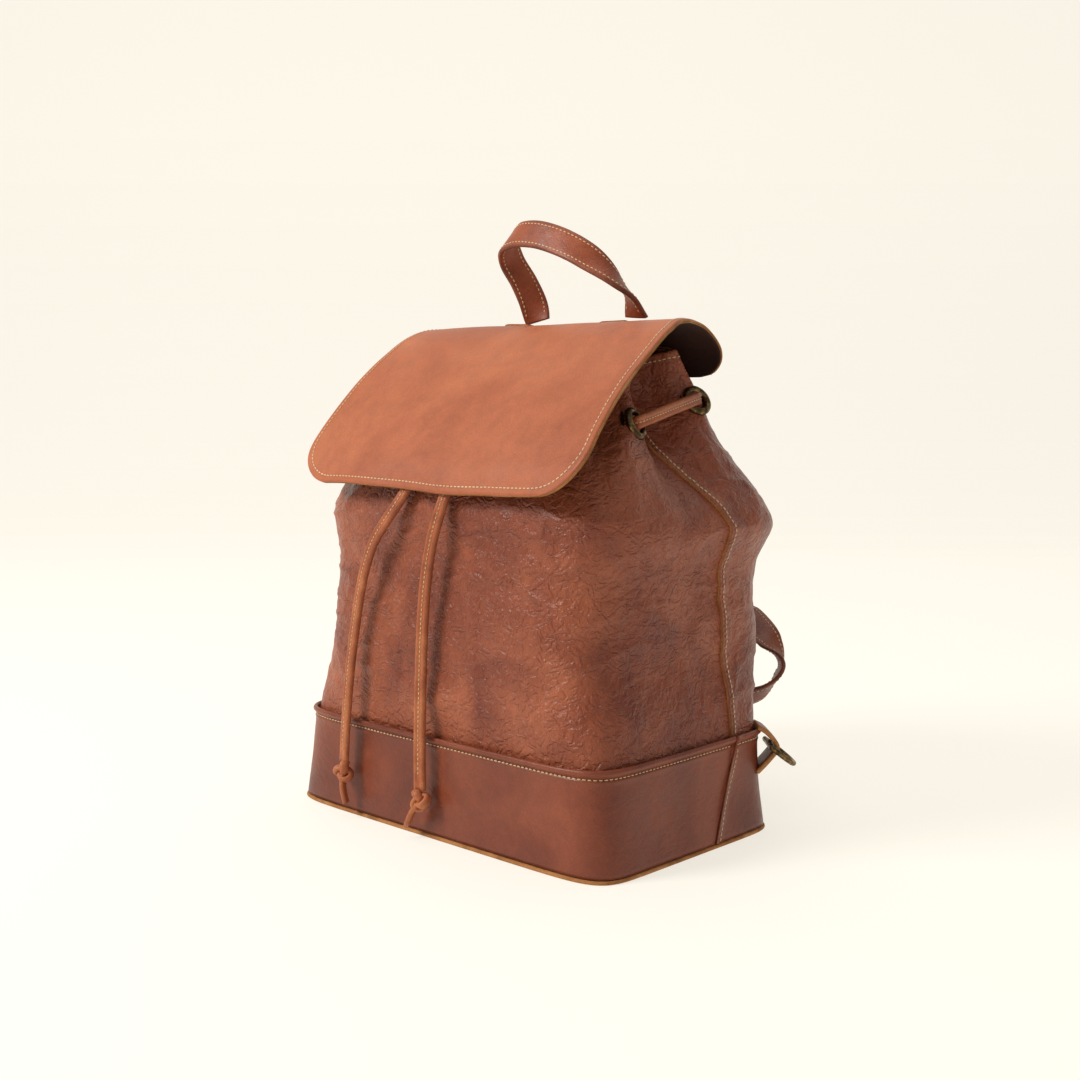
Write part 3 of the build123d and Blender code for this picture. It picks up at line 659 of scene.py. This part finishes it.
for a in np.linspace(0, 1, ROUND + 1)[:-1]:
    side_way = outward(3.0, a) * np.array([1, 1, 0])
    side_way /= np.linalg.norm(side_way)
    foot = wall(3.0, a) * np.array([1, 1, 0])
    rings.append([foot + side_way * o + np.array([0, 0, z]) for o, z in edge])
rand = swept_object("base_rand_visual", np.array(rings)[:, ::-1], [raw_edge], closed=True)
foot_ring = np.array([r[-1] for r in rings])
top_ring = foot_ring + np.array([0, 0, 2.4])
levels = []
for z, ring in ((0, foot_ring), (2.6, top_ring)):
    centre = ring.mean(axis=0)
    levels.append(np.array([centre + (ring - centre) * s for s in np.linspace(1, 0.02, ACROSS)]))
n = ACROSS * ROUND
faces = []
for k in (0, 1):
    for r in range(ACROSS - 1):
        low, high = k * n + r * ROUND, k * n + (r + 1) * ROUND
        for c in range(ROUND):
            d = (c + 1) % ROUND
            quad = (low + c, low + d, high + d, high + c)
            faces.append(quad if k else quad[::-1])
    hub = tuple(k * n + (ACROSS - 1) * ROUND + c for c in range(ROUND))
    faces.append(hub if k else hub[::-1])
points = np.concatenate([level.reshape(-1, 3) for level in levels])
base = mesh_object("base_panel_visual", points, faces, band_leather)
floor_points = levels[1] * np.array([0.975, 0.97, 1]) + np.array([0, 0, 4.2])
faces = [f[::-1] for f in faces[:len(faces) // 2]]
cloth = mesh_object("lining_floor_visual", floor_points.reshape(-1, 3), faces, twill)
thick = cloth.modifiers.new("cloth thickness", "SOLIDIFY")
thick.thickness = 0.0008
placed(rand, "band_leather", "bag")
placed(base, "band_leather", "bag", "base_panel")
placed(cloth, "lining_cloth", "bag", "lining_floor")
print("band and base done")

# %% [markdown]
# The flap is two leathers sewn round the edge. Its line runs up the front slope, over the ridge and down
# behind like a hood. It is a sheet laid on that line, with rounded corners, a hem that waves a little,
# and a raw tan edge.

# %% flap line and plan
FLAP_LINE = np.array([(-101, 227), (-95.5, 240), (-85, 254.5), (-68, 274.5), (-48, 295.5), (-26, 314.5),
                      (-8, 327.5), (6, 333.5), (20, 335), (36, 334), (53, 330.5), (67, 320.5), (73, 309),
                      (74.2, 298.5)], float)


def smooth_line(points, count):
    run = np.concatenate([[0], np.cumsum(np.linalg.norm(np.diff(points, axis=0), axis=1))])
    slope = np.gradient(points, run, axis=0)
    at = np.linspace(0, run[-1], count)
    i = np.clip(np.searchsorted(run, at) - 1, 0, len(points) - 2)
    h = (run[i + 1] - run[i])[:, None]
    t = ((at - run[i]) / (run[i + 1] - run[i]))[:, None]
    value = (2 * t**3 - 3 * t**2 + 1) * points[i] + (t**3 - 2 * t**2 + t) * h * slope[i]
    return value + (3 * t**2 - 2 * t**3) * points[i + 1] + (t**3 - t**2) * h * slope[i + 1], at


flap_fine, flap_run = smooth_line(FLAP_LINE, 600)
flap_length = flap_run[-1]
FLAP_CORNER, FLAP_REAR = 34.0, 24.0  # radii of the flap's corners


def flap_half(s):
    """Half the flap's width at a run from the hem, with its rounded lower corners."""
    yz = np.stack([np.interp(s, flap_run, flap_fine[:, k]) for k in (0, 1)], axis=-1)
    t = yz.sum(axis=-1) / sqrt(2)
    half = np.interp(t, [87, 215, 229, 245, 301], [131, 124.8, 123.6, 118.6, 98])
    low = np.clip(FLAP_CORNER - s, 0, FLAP_CORNER)
    high = np.clip(FLAP_REAR - (flap_length - s), 0, FLAP_REAR)
    half = half - FLAP_REAR + np.sqrt(np.maximum(FLAP_REAR**2 - high**2, 0))
    return half - FLAP_CORNER + np.sqrt(np.maximum(FLAP_CORNER**2 - low**2, 0))


def flap_point(s, x, out):
    """A point of the flap at a run from the hem and a place across."""
    s, x = np.broadcast_arrays(np.asarray(s, float), np.asarray(x, float))
    y = np.interp(s, flap_run, flap_fine[:, 0])
    z = np.interp(s, flap_run, flap_fine[:, 1])
    dy = np.interp(s, flap_run, np.gradient(flap_fine[:, 0], flap_run))
    dz = np.interp(s, flap_run, np.gradient(flap_fine[:, 1], flap_run))
    size = np.hypot(dy, dz)
    ny, nz = -dz / size, dy / size
    hem = np.exp(-s / 26)
    wave = hem * (1.6 * np.sin(x / 26 + 0.4) + 1.2 * np.sin(x / 47 + 1.0) + 0.5 * np.sin(x / 11))
    swell = 0.9 * soft_noise(x / 75 + 4, s / 60 + 6) + 0.35 * soft_noise(x / 30 + 14, s / 26 + 3)
    side = np.clip(np.abs(x) / 128, 0, 1)
    curl = 1.8 * side**6 * np.clip(np.sin(s / flap_length * pi * 2.2), -1, 1)
    down = -2.6 * side**5 * np.clip((s - 170) / 60, 0, 1)
    push = out + swell + curl + down + wave * 0.5
    dip = -wave * 0.7
    return np.stack([x, y + ny * push + dip * -0.35, z + nz * push + dip], axis=-1)


# %% flap meshes and its stitches
phi = np.linspace(0.10, pi / 2, 26)
runs = np.concatenate([FLAP_CORNER * (1 - np.cos(phi)), np.linspace(FLAP_CORNER, flap_length, 150)[1:]])
across = np.concatenate([np.linspace(-1, -0.93, 8)[:-1], np.linspace(-0.93, 0.93, 170),
                         np.linspace(0.93, 1, 8)[1:]])
half = flap_half(runs)
grid_x = half[:, None] * across[None, :]
grid_s = runs[:, None] + 0 * grid_x
edge_gap = np.minimum(half[:, None] - np.abs(grid_x), grid_s)
round_off = 0.8 * np.clip(1 - edge_gap / 1.6, 0, 1) ** 2
outer = flap_point(grid_s, grid_x, -round_off)
middle_skin = flap_point(grid_s, grid_x, -1.9)
inner_face = flap_point(grid_s, grid_x, -3.6 + round_off)
flap = sheet_object("flap_outer_visual", outer, middle_skin, [flap_leather, flesh_side, raw_edge])
flap_inner = sheet_object("flap_lining_visual", flap_point(grid_s, grid_x * 0.9975, -2.0), inner_face,
                          [flesh_side, flesh_side, raw_edge])
placed(flap, "flap_leather", None, "flap_outer")
placed(flap_inner, "facing_leather", None, "flap_lining")
in_from_edge = 4.6
s_side = np.linspace(FLAP_CORNER, flap_length - 8, 160)
corner_a = np.linspace(0.02, pi / 2, 30)
r = FLAP_CORNER - in_from_edge
right_x = flap_half(np.full(30, FLAP_CORNER)) - FLAP_CORNER + r * np.sin(corner_a)
corner_s = FLAP_CORNER - r * np.cos(corner_a)
line_s = np.concatenate([corner_s, s_side[1:]])
line_x = np.concatenate([right_x, flap_half(s_side[1:]) - in_from_edge])
hem_x = np.linspace(-right_x[0], right_x[0], 90)
line_s = np.concatenate([line_s[::-1], np.full(90, corner_s[0]), line_s])
line_x = np.concatenate([line_x[::-1], hem_x[::-1], -line_x])
stitch_line("flap", flap_point(line_s, line_x, 0.1))
print("flap", len(flap.data.vertices), "length of its line", round(float(flap_length), 1))

# %% [markdown]
# Eyelets are turned brass: a domed ring over the leather's hole and a barrel through it. A half section
# spun about the hole's axis gives one, set square to the wall at each of the six places.

# %% eyelets
right_places = [find_around(rim(0.02) - eyelet_depth, 16.0, 0.0, 0.10, 0),
                find_around(rim(0.18) - eyelet_depth, -17.0, 0.06, 0.30, 1),
                find_around(rim(0.32) - eyelet_depth, 55.0, 0.20, 0.44, 1)]
places = right_places + [1 - a for a in reversed(right_places)]
dome = [(6.0, -3.6), (6.0, -0.5), (6.15, 0.6), (6.7, 1.5), (7.7, 2.1), (8.8, 2.05), (9.9, 1.5), (10.7, 0.7),
        (11.0, -0.1), (10.9, -0.9), (8.0, -0.9), (6.7, -1.2), (6.6, -3.6)]
for k, a in enumerate(places):
    height = rim(a) - eyelet_depth
    centre, normal = wall(height, a, -body_inset), outward(height, a)
    one = np.cross(normal, (0, 0, 1.0))
    one /= np.linalg.norm(one)
    two = np.cross(normal, one)
    rings = [[centre + (one * cos(t) + two * sin(t)) * r + normal * (h + 0.5) for r, h in dome]
             for t in np.linspace(0, tau, 49)[:-1]]
    ring = swept_object(f"eyelet_{k + 1}_visual", rings, [old_brass], closed=True)
    placed(ring, "old_brass", "bag", f"eyelet_{k + 1}")
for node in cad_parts:
    if node.startswith(("eyelet_washer", "d_ring", "base_board")):
        for material_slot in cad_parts[node].material_slots:
            material_slot.material = flesh_side if node == "base_board" else old_brass
print("eyelets at", [round(float(a), 3) for a in places])

# %% [markdown]
# The rest of the lace runs through all six eyelets: in at the front, out beside the tuck, back in behind
# it, round inside the back of the mouth, and the same again. It uses the same strip as the hanging ends.

# %% lace through the mouth
route = []
stack = 3.4
for k, a in enumerate(places):
    height = rim(a) - eyelet_depth
    centre, normal = wall(height, a, -body_inset), outward(height, a)
    pair = [centre + normal * 4.6, centre, centre - normal * (stack + 4.4)]
    route += pair if k % 2 == 0 else pair[::-1]
    if k == 2:
        route += [wall(rim(b) - eyelet_depth, b, -body_inset - stack - 7) for b in (0.41, 0.47, 0.53, 0.59)]
route[0], route[-1] = np.array(LACE_RIGHT[0], float), np.array(LACE_LEFT[0], float)
loop_path = spline_path(route, 8)
wide = np.broadcast_to(np.array([0.0, 0.0, 1.0]), loop_path.shape)
loop = swept_object("lace_loop_visual", strip_rings(loop_path, wide, lace_section), [lace_leather])
placed(loop, "lace_leather", "bag", "lace_loop")
face = frames(loop_path, wide)[2]
lean = np.where((face * (loop_path - np.array([0, 10, 0]))).sum(axis=1, keepdims=True) > 0, 1, -1)
stitch_line("bag", (loop_path + face * lean * 1.75)[4:-4], 3.0, 0.8)
print("lace loop", round(path_length(loop_path), 1), "mm")

# %% [markdown]
# The handle and the shoulder straps are cut strips sewn along both edges. Each follows its stations, with
# the way that its width points, and has softly rounded edges and a slight crown from its doubled leather.

# %% strips
HANDLE = [((-43, 50, 339), (1, .2, 0)), ((-45.5, 48.5, 351), (.7, .7, 0)), ((-50, 43, 367), (.45, .88, .05)),
          ((-53.5, 34, 382), (.25, .92, .3)), ((-48, 25, 392), (.12, .72, .68)), ((-34, 19, 397), (.1, .45, .88)),
          ((-16, 17, 396.5), (.15, .36, .92)), ((6, 18, 390.5), (.22, .4, .88)), ((30, 23, 378), (.2, .65, .72)),
          ((45, 32, 363.5), (-.3, .85, .3)), ((50, 43.5, 351), (-.8, .58, .05)), ((49.5, 50, 339), (-1, .1, 0))]
STRAP = [((27, 97.5, 263), (1, 0, 0)), ((26, 118, 263.5), (1, 0, 0)), ((24, 146, 249), (1, 0, 0)),
         ((25, 163, 219), (1, 0, 0)), ((29, 168, 186), (1, -.05, .1)), ((40, 165, 156), (.9, -.3, -.3)),
         ((64, 158, 130), (.6, -.5, -.6)), ((94, 148, 110), (.52, -.55, -.65)), ((109, 140, 93), (.68, -.73, 0)),
         ((103, 130, 78.5), (.55, -.5, .67)), ((83, 114, 70.5), (.6, -.3, .72)), ((64, 101, 65), (.9, -.1, .4)),
         ((54, 92.5, 59), (1, 0, 0))]


def strip(name, stations, width, thick, material, body, count=200):
    points = np.array([p for p, _ in stations], float)
    ways = np.array([w for _, w in stations], float)
    path, at = smooth_line(points, count)
    run = np.concatenate([[0], np.cumsum(np.linalg.norm(np.diff(points, axis=0), axis=1))])
    wide = np.stack([np.interp(at, run, ways[:, k]) for k in range(3)], axis=1)
    for _ in range(14):
        wide[1:-1] = (wide[:-2] + 2 * wide[1:-1] + wide[2:]) / 4
    r = thick / 2
    section = []
    for side in (1, -1):
        for t in np.linspace(-pi / 2, pi / 2, 7):
            section.append((side * (width / 2 - r * 0.7 + r * 0.7 * cos(t)), side * r * sin(t)))
        for x in (0.62, 0.3, 0, -0.3, -0.62):
            section.append((side * x * width / 2, side * (r + 0.35 * (1 - x * x))))
    section = np.array(section)
    rings = strip_rings(path, wide, section)
    m = len(section)
    edges = [1 if (i % (m // 2)) < 6 else 0 for i in range(m)]
    piece = swept_object(name, rings, [material, strap_leather], edges)
    way, across_way, face = frames(path, wide)
    for x in (-1, 1):
        for up in (-1, 1):
            line = path + across_way * x * (width / 2 - 3.0) + face * up * (r + 0.12)
            stitch_line(body, line[6:-6], 3.3, 0.9)
    return piece, path


handle, handle_path = strip("handle_visual", HANDLE, 20.0, 3.4, handle_leather, "handle")
placed(handle, "strap_leather", "handle", "handle")
for side, sign in (("right", 1), ("left", -1)):
    stations = [((sign * x, y, z), (wx, sign * wy, sign * wz)) for (x, y, z), (wx, wy, wz) in STRAP]
    name = "strap_" + side
    strap, strap_path = strip(name + "_visual", stations, 20.0, 2.8, strap_leather, name, 260)
    placed(strap, "strap_leather", name, name)
print("handle", round(path_length(handle_path)), "mm, strap", round(path_length(strap_path)), "mm")

# %% [markdown]
# Small sewn patches: the yoke that covers the straps' upper ends, the feet that hold the straps' lower ends
# and the handle, and the folded tab on each rear corner that carries a ring.

# %% yoke, feet and tabs
def wall_patch(name, low, high, start, end, out, thick, material, node, rows=24, columns=60):
    z = np.linspace(low, high, rows)[:, None]
    a = np.linspace(start, end, columns)[None, :]
    edge = np.minimum(np.minimum(z - low, high - z) + 0 * a, np.minimum(a - start, end - a) * GIRTH + 0 * z)
    rounded = 0.9 * np.clip(1 - edge / 2.0, 0, 1) ** 2
    outer_skin = wall(z + 0 * a, a + 0 * z, out + thick - rounded)
    piece = sheet_object(name, outer_skin, wall(z + 0 * a, a + 0 * z, out), [material, flesh_side, raw_edge])
    placed(piece, "strap_leather", "bag", node)
    inset = 3.2
    da = inset / GIRTH
    box_z = np.concatenate([np.full(60, low + inset), np.linspace(low + inset, high - inset, 20),
                            np.full(60, high - inset), np.linspace(high - inset, low + inset, 20)])
    box_a = np.concatenate([np.linspace(start + da, end - da, 60), np.full(20, end - da),
                            np.linspace(end - da, start + da, 60), np.full(20, start + da)])
    stitch_line("bag", wall(box_z, box_a, out + thick + 0.1))


yoke_start = find_around(258.0, 84.0, 0.40, 0.5, 0)
wall_patch("back_yoke_visual", 258, 296, yoke_start, 1 - yoke_start, 0.4, 2.0, strap_leather, "back_yoke",
           24, 120)
for side, sign in (("right", 1), ("left", -1)):
    ends = sorted(find_around(59.0, sign * (54 + d), 0.40, 0.60, 0) for d in (11.0, -11.0))
    wall_patch("strap_foot_" + side + "_visual", 38.5, 59, ends[0], ends[1], 0.3, 3.0, strap_leather,
               "strap_foot_" + side, 16, 20)
for side, sign in (("right", 1), ("left", -1)):
    foot_s = np.interp(43.0, flap_fine[:, 0][:440], flap_run[:440])
    s = np.linspace(foot_s, foot_s + 20.5, 16)[:, None]
    x = sign * 45 + np.linspace(-11, 11, 16)[None, :]
    edge = np.minimum(np.minimum(s - s[0], s[-1] - s) + 0 * x, 11 - np.abs(x - sign * 45) + 0 * s)
    rounded = 0.9 * np.clip(1 - edge / 2.0, 0, 1) ** 2
    foot = sheet_object("handle_foot_" + side + "_visual", flap_point(s + 0 * x, x + 0 * s, 2.3 - rounded),
                        flap_point(s + 0 * x, x + 0 * s, 0.1), [handle_leather, flesh_side, raw_edge])
    placed(foot, "strap_leather", "flap", "handle_foot_" + side)
for side, sign in (("right", 1), ("left", -1)):
    diagonal = np.array([sign, 1, 0]) / sqrt(2)
    bar = np.cross(diagonal, (0, 0, 1))
    eye = np.array([sign * 140.17, 81.17, 55.0])
    root = eye - diagonal * 7.5 + np.array([0, 0, -2.5])
    loop_line = [(-1.2, 15.3), (3.0, 13.2), (7.4, 9.2), (10.4, 5.6), (11.9, 2.5), (11.2, -0.8), (8.3, -4.6),
                 (4.0, -9.6), (-1.2, -15.0)]
    line, _ = smooth_line(np.array(loop_line, float), 60)
    rings = []
    normals = np.gradient(line, axis=0)
    normals /= np.linalg.norm(normals, axis=1, keepdims=True)
    for (u, v), (du, dv) in zip(line, normals):
        centre = root + diagonal * u + np.array([0, 0, 1.0]) * v
        thick_way = -(diagonal * dv - np.array([0, 0, 1.0]) * du)
        section = [(9.9, 0.0), (9.9, 1.0), (9.2, 1.5), (4, 1.6), (0, 1.6), (-4, 1.6), (-9.2, 1.5), (-9.9, 1.0),
                   (-9.9, 0.0), (-9.9, -1.0), (-9.2, -1.5), (-4, -1.5), (0, -1.5), (4, -1.5), (9.2, -1.5),
                   (9.9, -1.0)]
        rings.append([centre + bar * b + thick_way * c for b, c in section])
    edges = [1 if i in (0, 1, 7, 8, 14, 15) else 0 for i in range(16)]
    tab = swept_object("corner_tab_" + side + "_visual", rings, [strap_leather, raw_edge], edges)
    placed(tab, "strap_leather", "bag", "corner_tab_" + side)
print("patches done")

# %% [markdown]
# The stitches repeat along lines, so Geometry Nodes lay them: each line is cut at the stitch pitch and a
# small thread bead, a little longer than wide, is set along it. One mesh is made for each moving body.

# %% stitches by Geometry Nodes
def stitch_tree():
    tree = bpy.data.node_groups.new("stitches", "GeometryNodeTree")
    face = tree.interface
    face.new_socket("Line", in_out="INPUT", socket_type="NodeSocketGeometry")
    for name, value in (("Pitch", 0.0033), ("Length", 0.0024), ("Width", 0.0009)):
        face.new_socket(name, in_out="INPUT", socket_type="NodeSocketFloat").default_value = value
    face.new_socket("Stitches", in_out="OUTPUT", socket_type="NodeSocketGeometry")
    given = add_node(tree, "NodeGroupInput")
    cut = add_node(tree, "GeometryNodeResampleCurve", {"mode": "LENGTH"}, Curve=given.outputs["Line"],
                   Length=given.outputs["Pitch"])
    bead = add_node(tree, "GeometryNodeMeshUVSphere", Segments=8, Rings=5, Radius=0.5)
    size = add_node(tree, "ShaderNodeCombineXYZ", X=given.outputs["Width"], Y=given.outputs["Width"],
                    Z=given.outputs["Length"])
    shaped = add_node(tree, "GeometryNodeTransform", Geometry=bead.outputs["Mesh"], Scale=size.outputs[0])
    way = add_node(tree, "GeometryNodeInputTangent")
    turned = add_node(tree, "FunctionNodeAlignRotationToVector", {"axis": "Z"}, Vector=way.outputs[0])
    laid = add_node(tree, "GeometryNodeInstanceOnPoints", Points=cut.outputs[0], Instance=shaped.outputs[0],
                    Rotation=turned.outputs[0])
    real = add_node(tree, "GeometryNodeRealizeInstances", Geometry=laid.outputs[0])
    smooth = add_node(tree, "GeometryNodeSetShadeSmooth", Geometry=real.outputs[0])
    painted = add_node(tree, "GeometryNodeSetMaterial", Geometry=smooth.outputs[0])
    painted.inputs["Material"].default_value = linen_thread
    out = add_node(tree, "NodeGroupOutput")
    tree.links.new(painted.outputs[0], out.inputs[0])
    return tree


tree = stitch_tree()
sockets = {item.name: item.identifier for item in tree.interface.items_tree if item.in_out == "INPUT"}
meshes = {}
for (body, pitch, size), lines in sorted(STITCH_LINES.items()):
    data = bpy.data.curves.new("stitch lines", "CURVE")
    data.dimensions = "3D"
    for line in lines:
        spline = data.splines.new("POLY")
        spline.points.add(len(line) - 1)
        spline.points.foreach_set("co", np.c_[line * MM, np.ones(len(line))].ravel())
    obj = bpy.data.objects.new("stitch lines", data)
    bpy.context.scene.collection.objects.link(obj)
    modifier = obj.modifiers.new("stitches", "NODES")
    modifier.node_group = tree
    modifier[sockets["Pitch"]] = pitch * MM
    modifier[sockets["Length"]] = 0.0025 * size
    modifier[sockets["Width"]] = 0.00095 * size
    bpy.context.view_layer.update()
    evaluated = obj.evaluated_get(bpy.context.evaluated_depsgraph_get())
    mesh = bpy.data.meshes.new_from_object(evaluated)
    bpy.data.objects.remove(obj)
    meshes.setdefault(body, []).append(mesh)
for body, made in meshes.items():
    joined = bpy.data.meshes.new("stitches_" + body)
    points, faces = [], []
    for mesh in made:
        start = len(points)
        points += [tuple(v.co) for v in mesh.vertices]
        faces += [tuple(start + i for i in p.vertices) for p in mesh.polygons]
    obj = mesh_object("stitches_" + body, np.array(points) / MM, faces, linen_thread)
    if body == "flap":
        flap_stitches = obj
    else:
        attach(obj, body)
    print("stitches on", body, len(faces) // 40)

# %% [markdown]
# At the back the flap is sewn down behind the yoke. Here the flap, its lining and its stitches have their
# placing written into their meshes.

# %% flap transforms
for piece in (flap, flap_inner, flap_stitches):
    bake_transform(piece)

# %% [markdown]
# A plain pale sweep and soft light. A large soft light from the upper left front gives the leather its
# broad sheen, a weaker one from the right opens the shaded side, and the world fills the rest evenly.

# %% floor and lights
floor_mesh = bpy.data.meshes.new("floor")
curve = [(1.6 + 0.9 * sin(t), 0.9 - 0.9 * cos(t)) for t in np.linspace(0.1, pi / 2, 14)]
sweep = [(-3.0, 0.0), (1.6, 0.0)] + curve + [(2.5, 4.0)]
depth_way = np.array([-sin(radians(HEADING)), cos(radians(HEADING))])
side_way = np.array([depth_way[1], -depth_way[0]])
points, faces = [], []
for k, (d, z) in enumerate(sweep):
    for w in (-5, 5):
        points.append((*(depth_way * d + side_way * w), z - 0.0002))
    if k:
        faces.append((2 * k - 2, 2 * k - 1, 2 * k + 1, 2 * k))
floor_mesh.from_pydata([tuple(float(v) for v in p) for p in points], [], faces)
floor = bpy.data.objects.new("floor", floor_mesh)
bpy.context.scene.collection.objects.link(floor)
paper, tree, place = plain_material("backdrop_paper")
surface(tree, Base_Color=(0.32, 0.306, 0.275, 1.0), Roughness=0.95, Emission_Color=(1.0, 0.955, 0.86, 1.0),
        Emission_Strength=0.71)
floor_mesh.materials.append(paper)


def soft_light(name, place, size, power, colour, aim=(0, 0, 0.18)):
    data = bpy.data.lights.new(name, "AREA")
    data.shape = "DISK"
    data.size = size
    data.energy = power
    data.color = to_linear(colour)[:3]
    light = bpy.data.objects.new(name, data)
    bpy.context.scene.collection.objects.link(light)
    light.location = place
    light.rotation_euler = (Vector(aim) - Vector(place)).to_track_quat("-Z", "Y").to_euler()


soft_light("key", (-0.75, -1.55, 1.45), 0.8, 37.0, "#FFFBF6")
soft_light("side", (1.9, -0.25, 0.9), 1.2, 1.5, "#FFFAF4")
soft_light("top", (-0.2, 0.2, 2.1), 1.6, 12.0, "#FFFCF8")
world = bpy.data.worlds.new("world")
world.use_nodes = True
bpy.context.scene.world = world
tree = world.node_tree
tree.nodes.clear()
fill = add_node(tree, "ShaderNodeBackground", Color=(1.0, 0.99, 0.97, 1.0), Strength=0.34)
pale = add_node(tree, "ShaderNodeBackground", Color=to_linear("#FEFAEF"), Strength=1.0)
seen = add_node(tree, "ShaderNodeLightPath").outputs["Is Camera Ray"]
mixed = add_node(tree, "ShaderNodeMixShader", in_0=seen, in_1=fill.outputs[0], in_2=pale.outputs[0])
add_node(tree, "ShaderNodeOutputWorld", Surface=mixed.outputs[0])
print("stage ready")
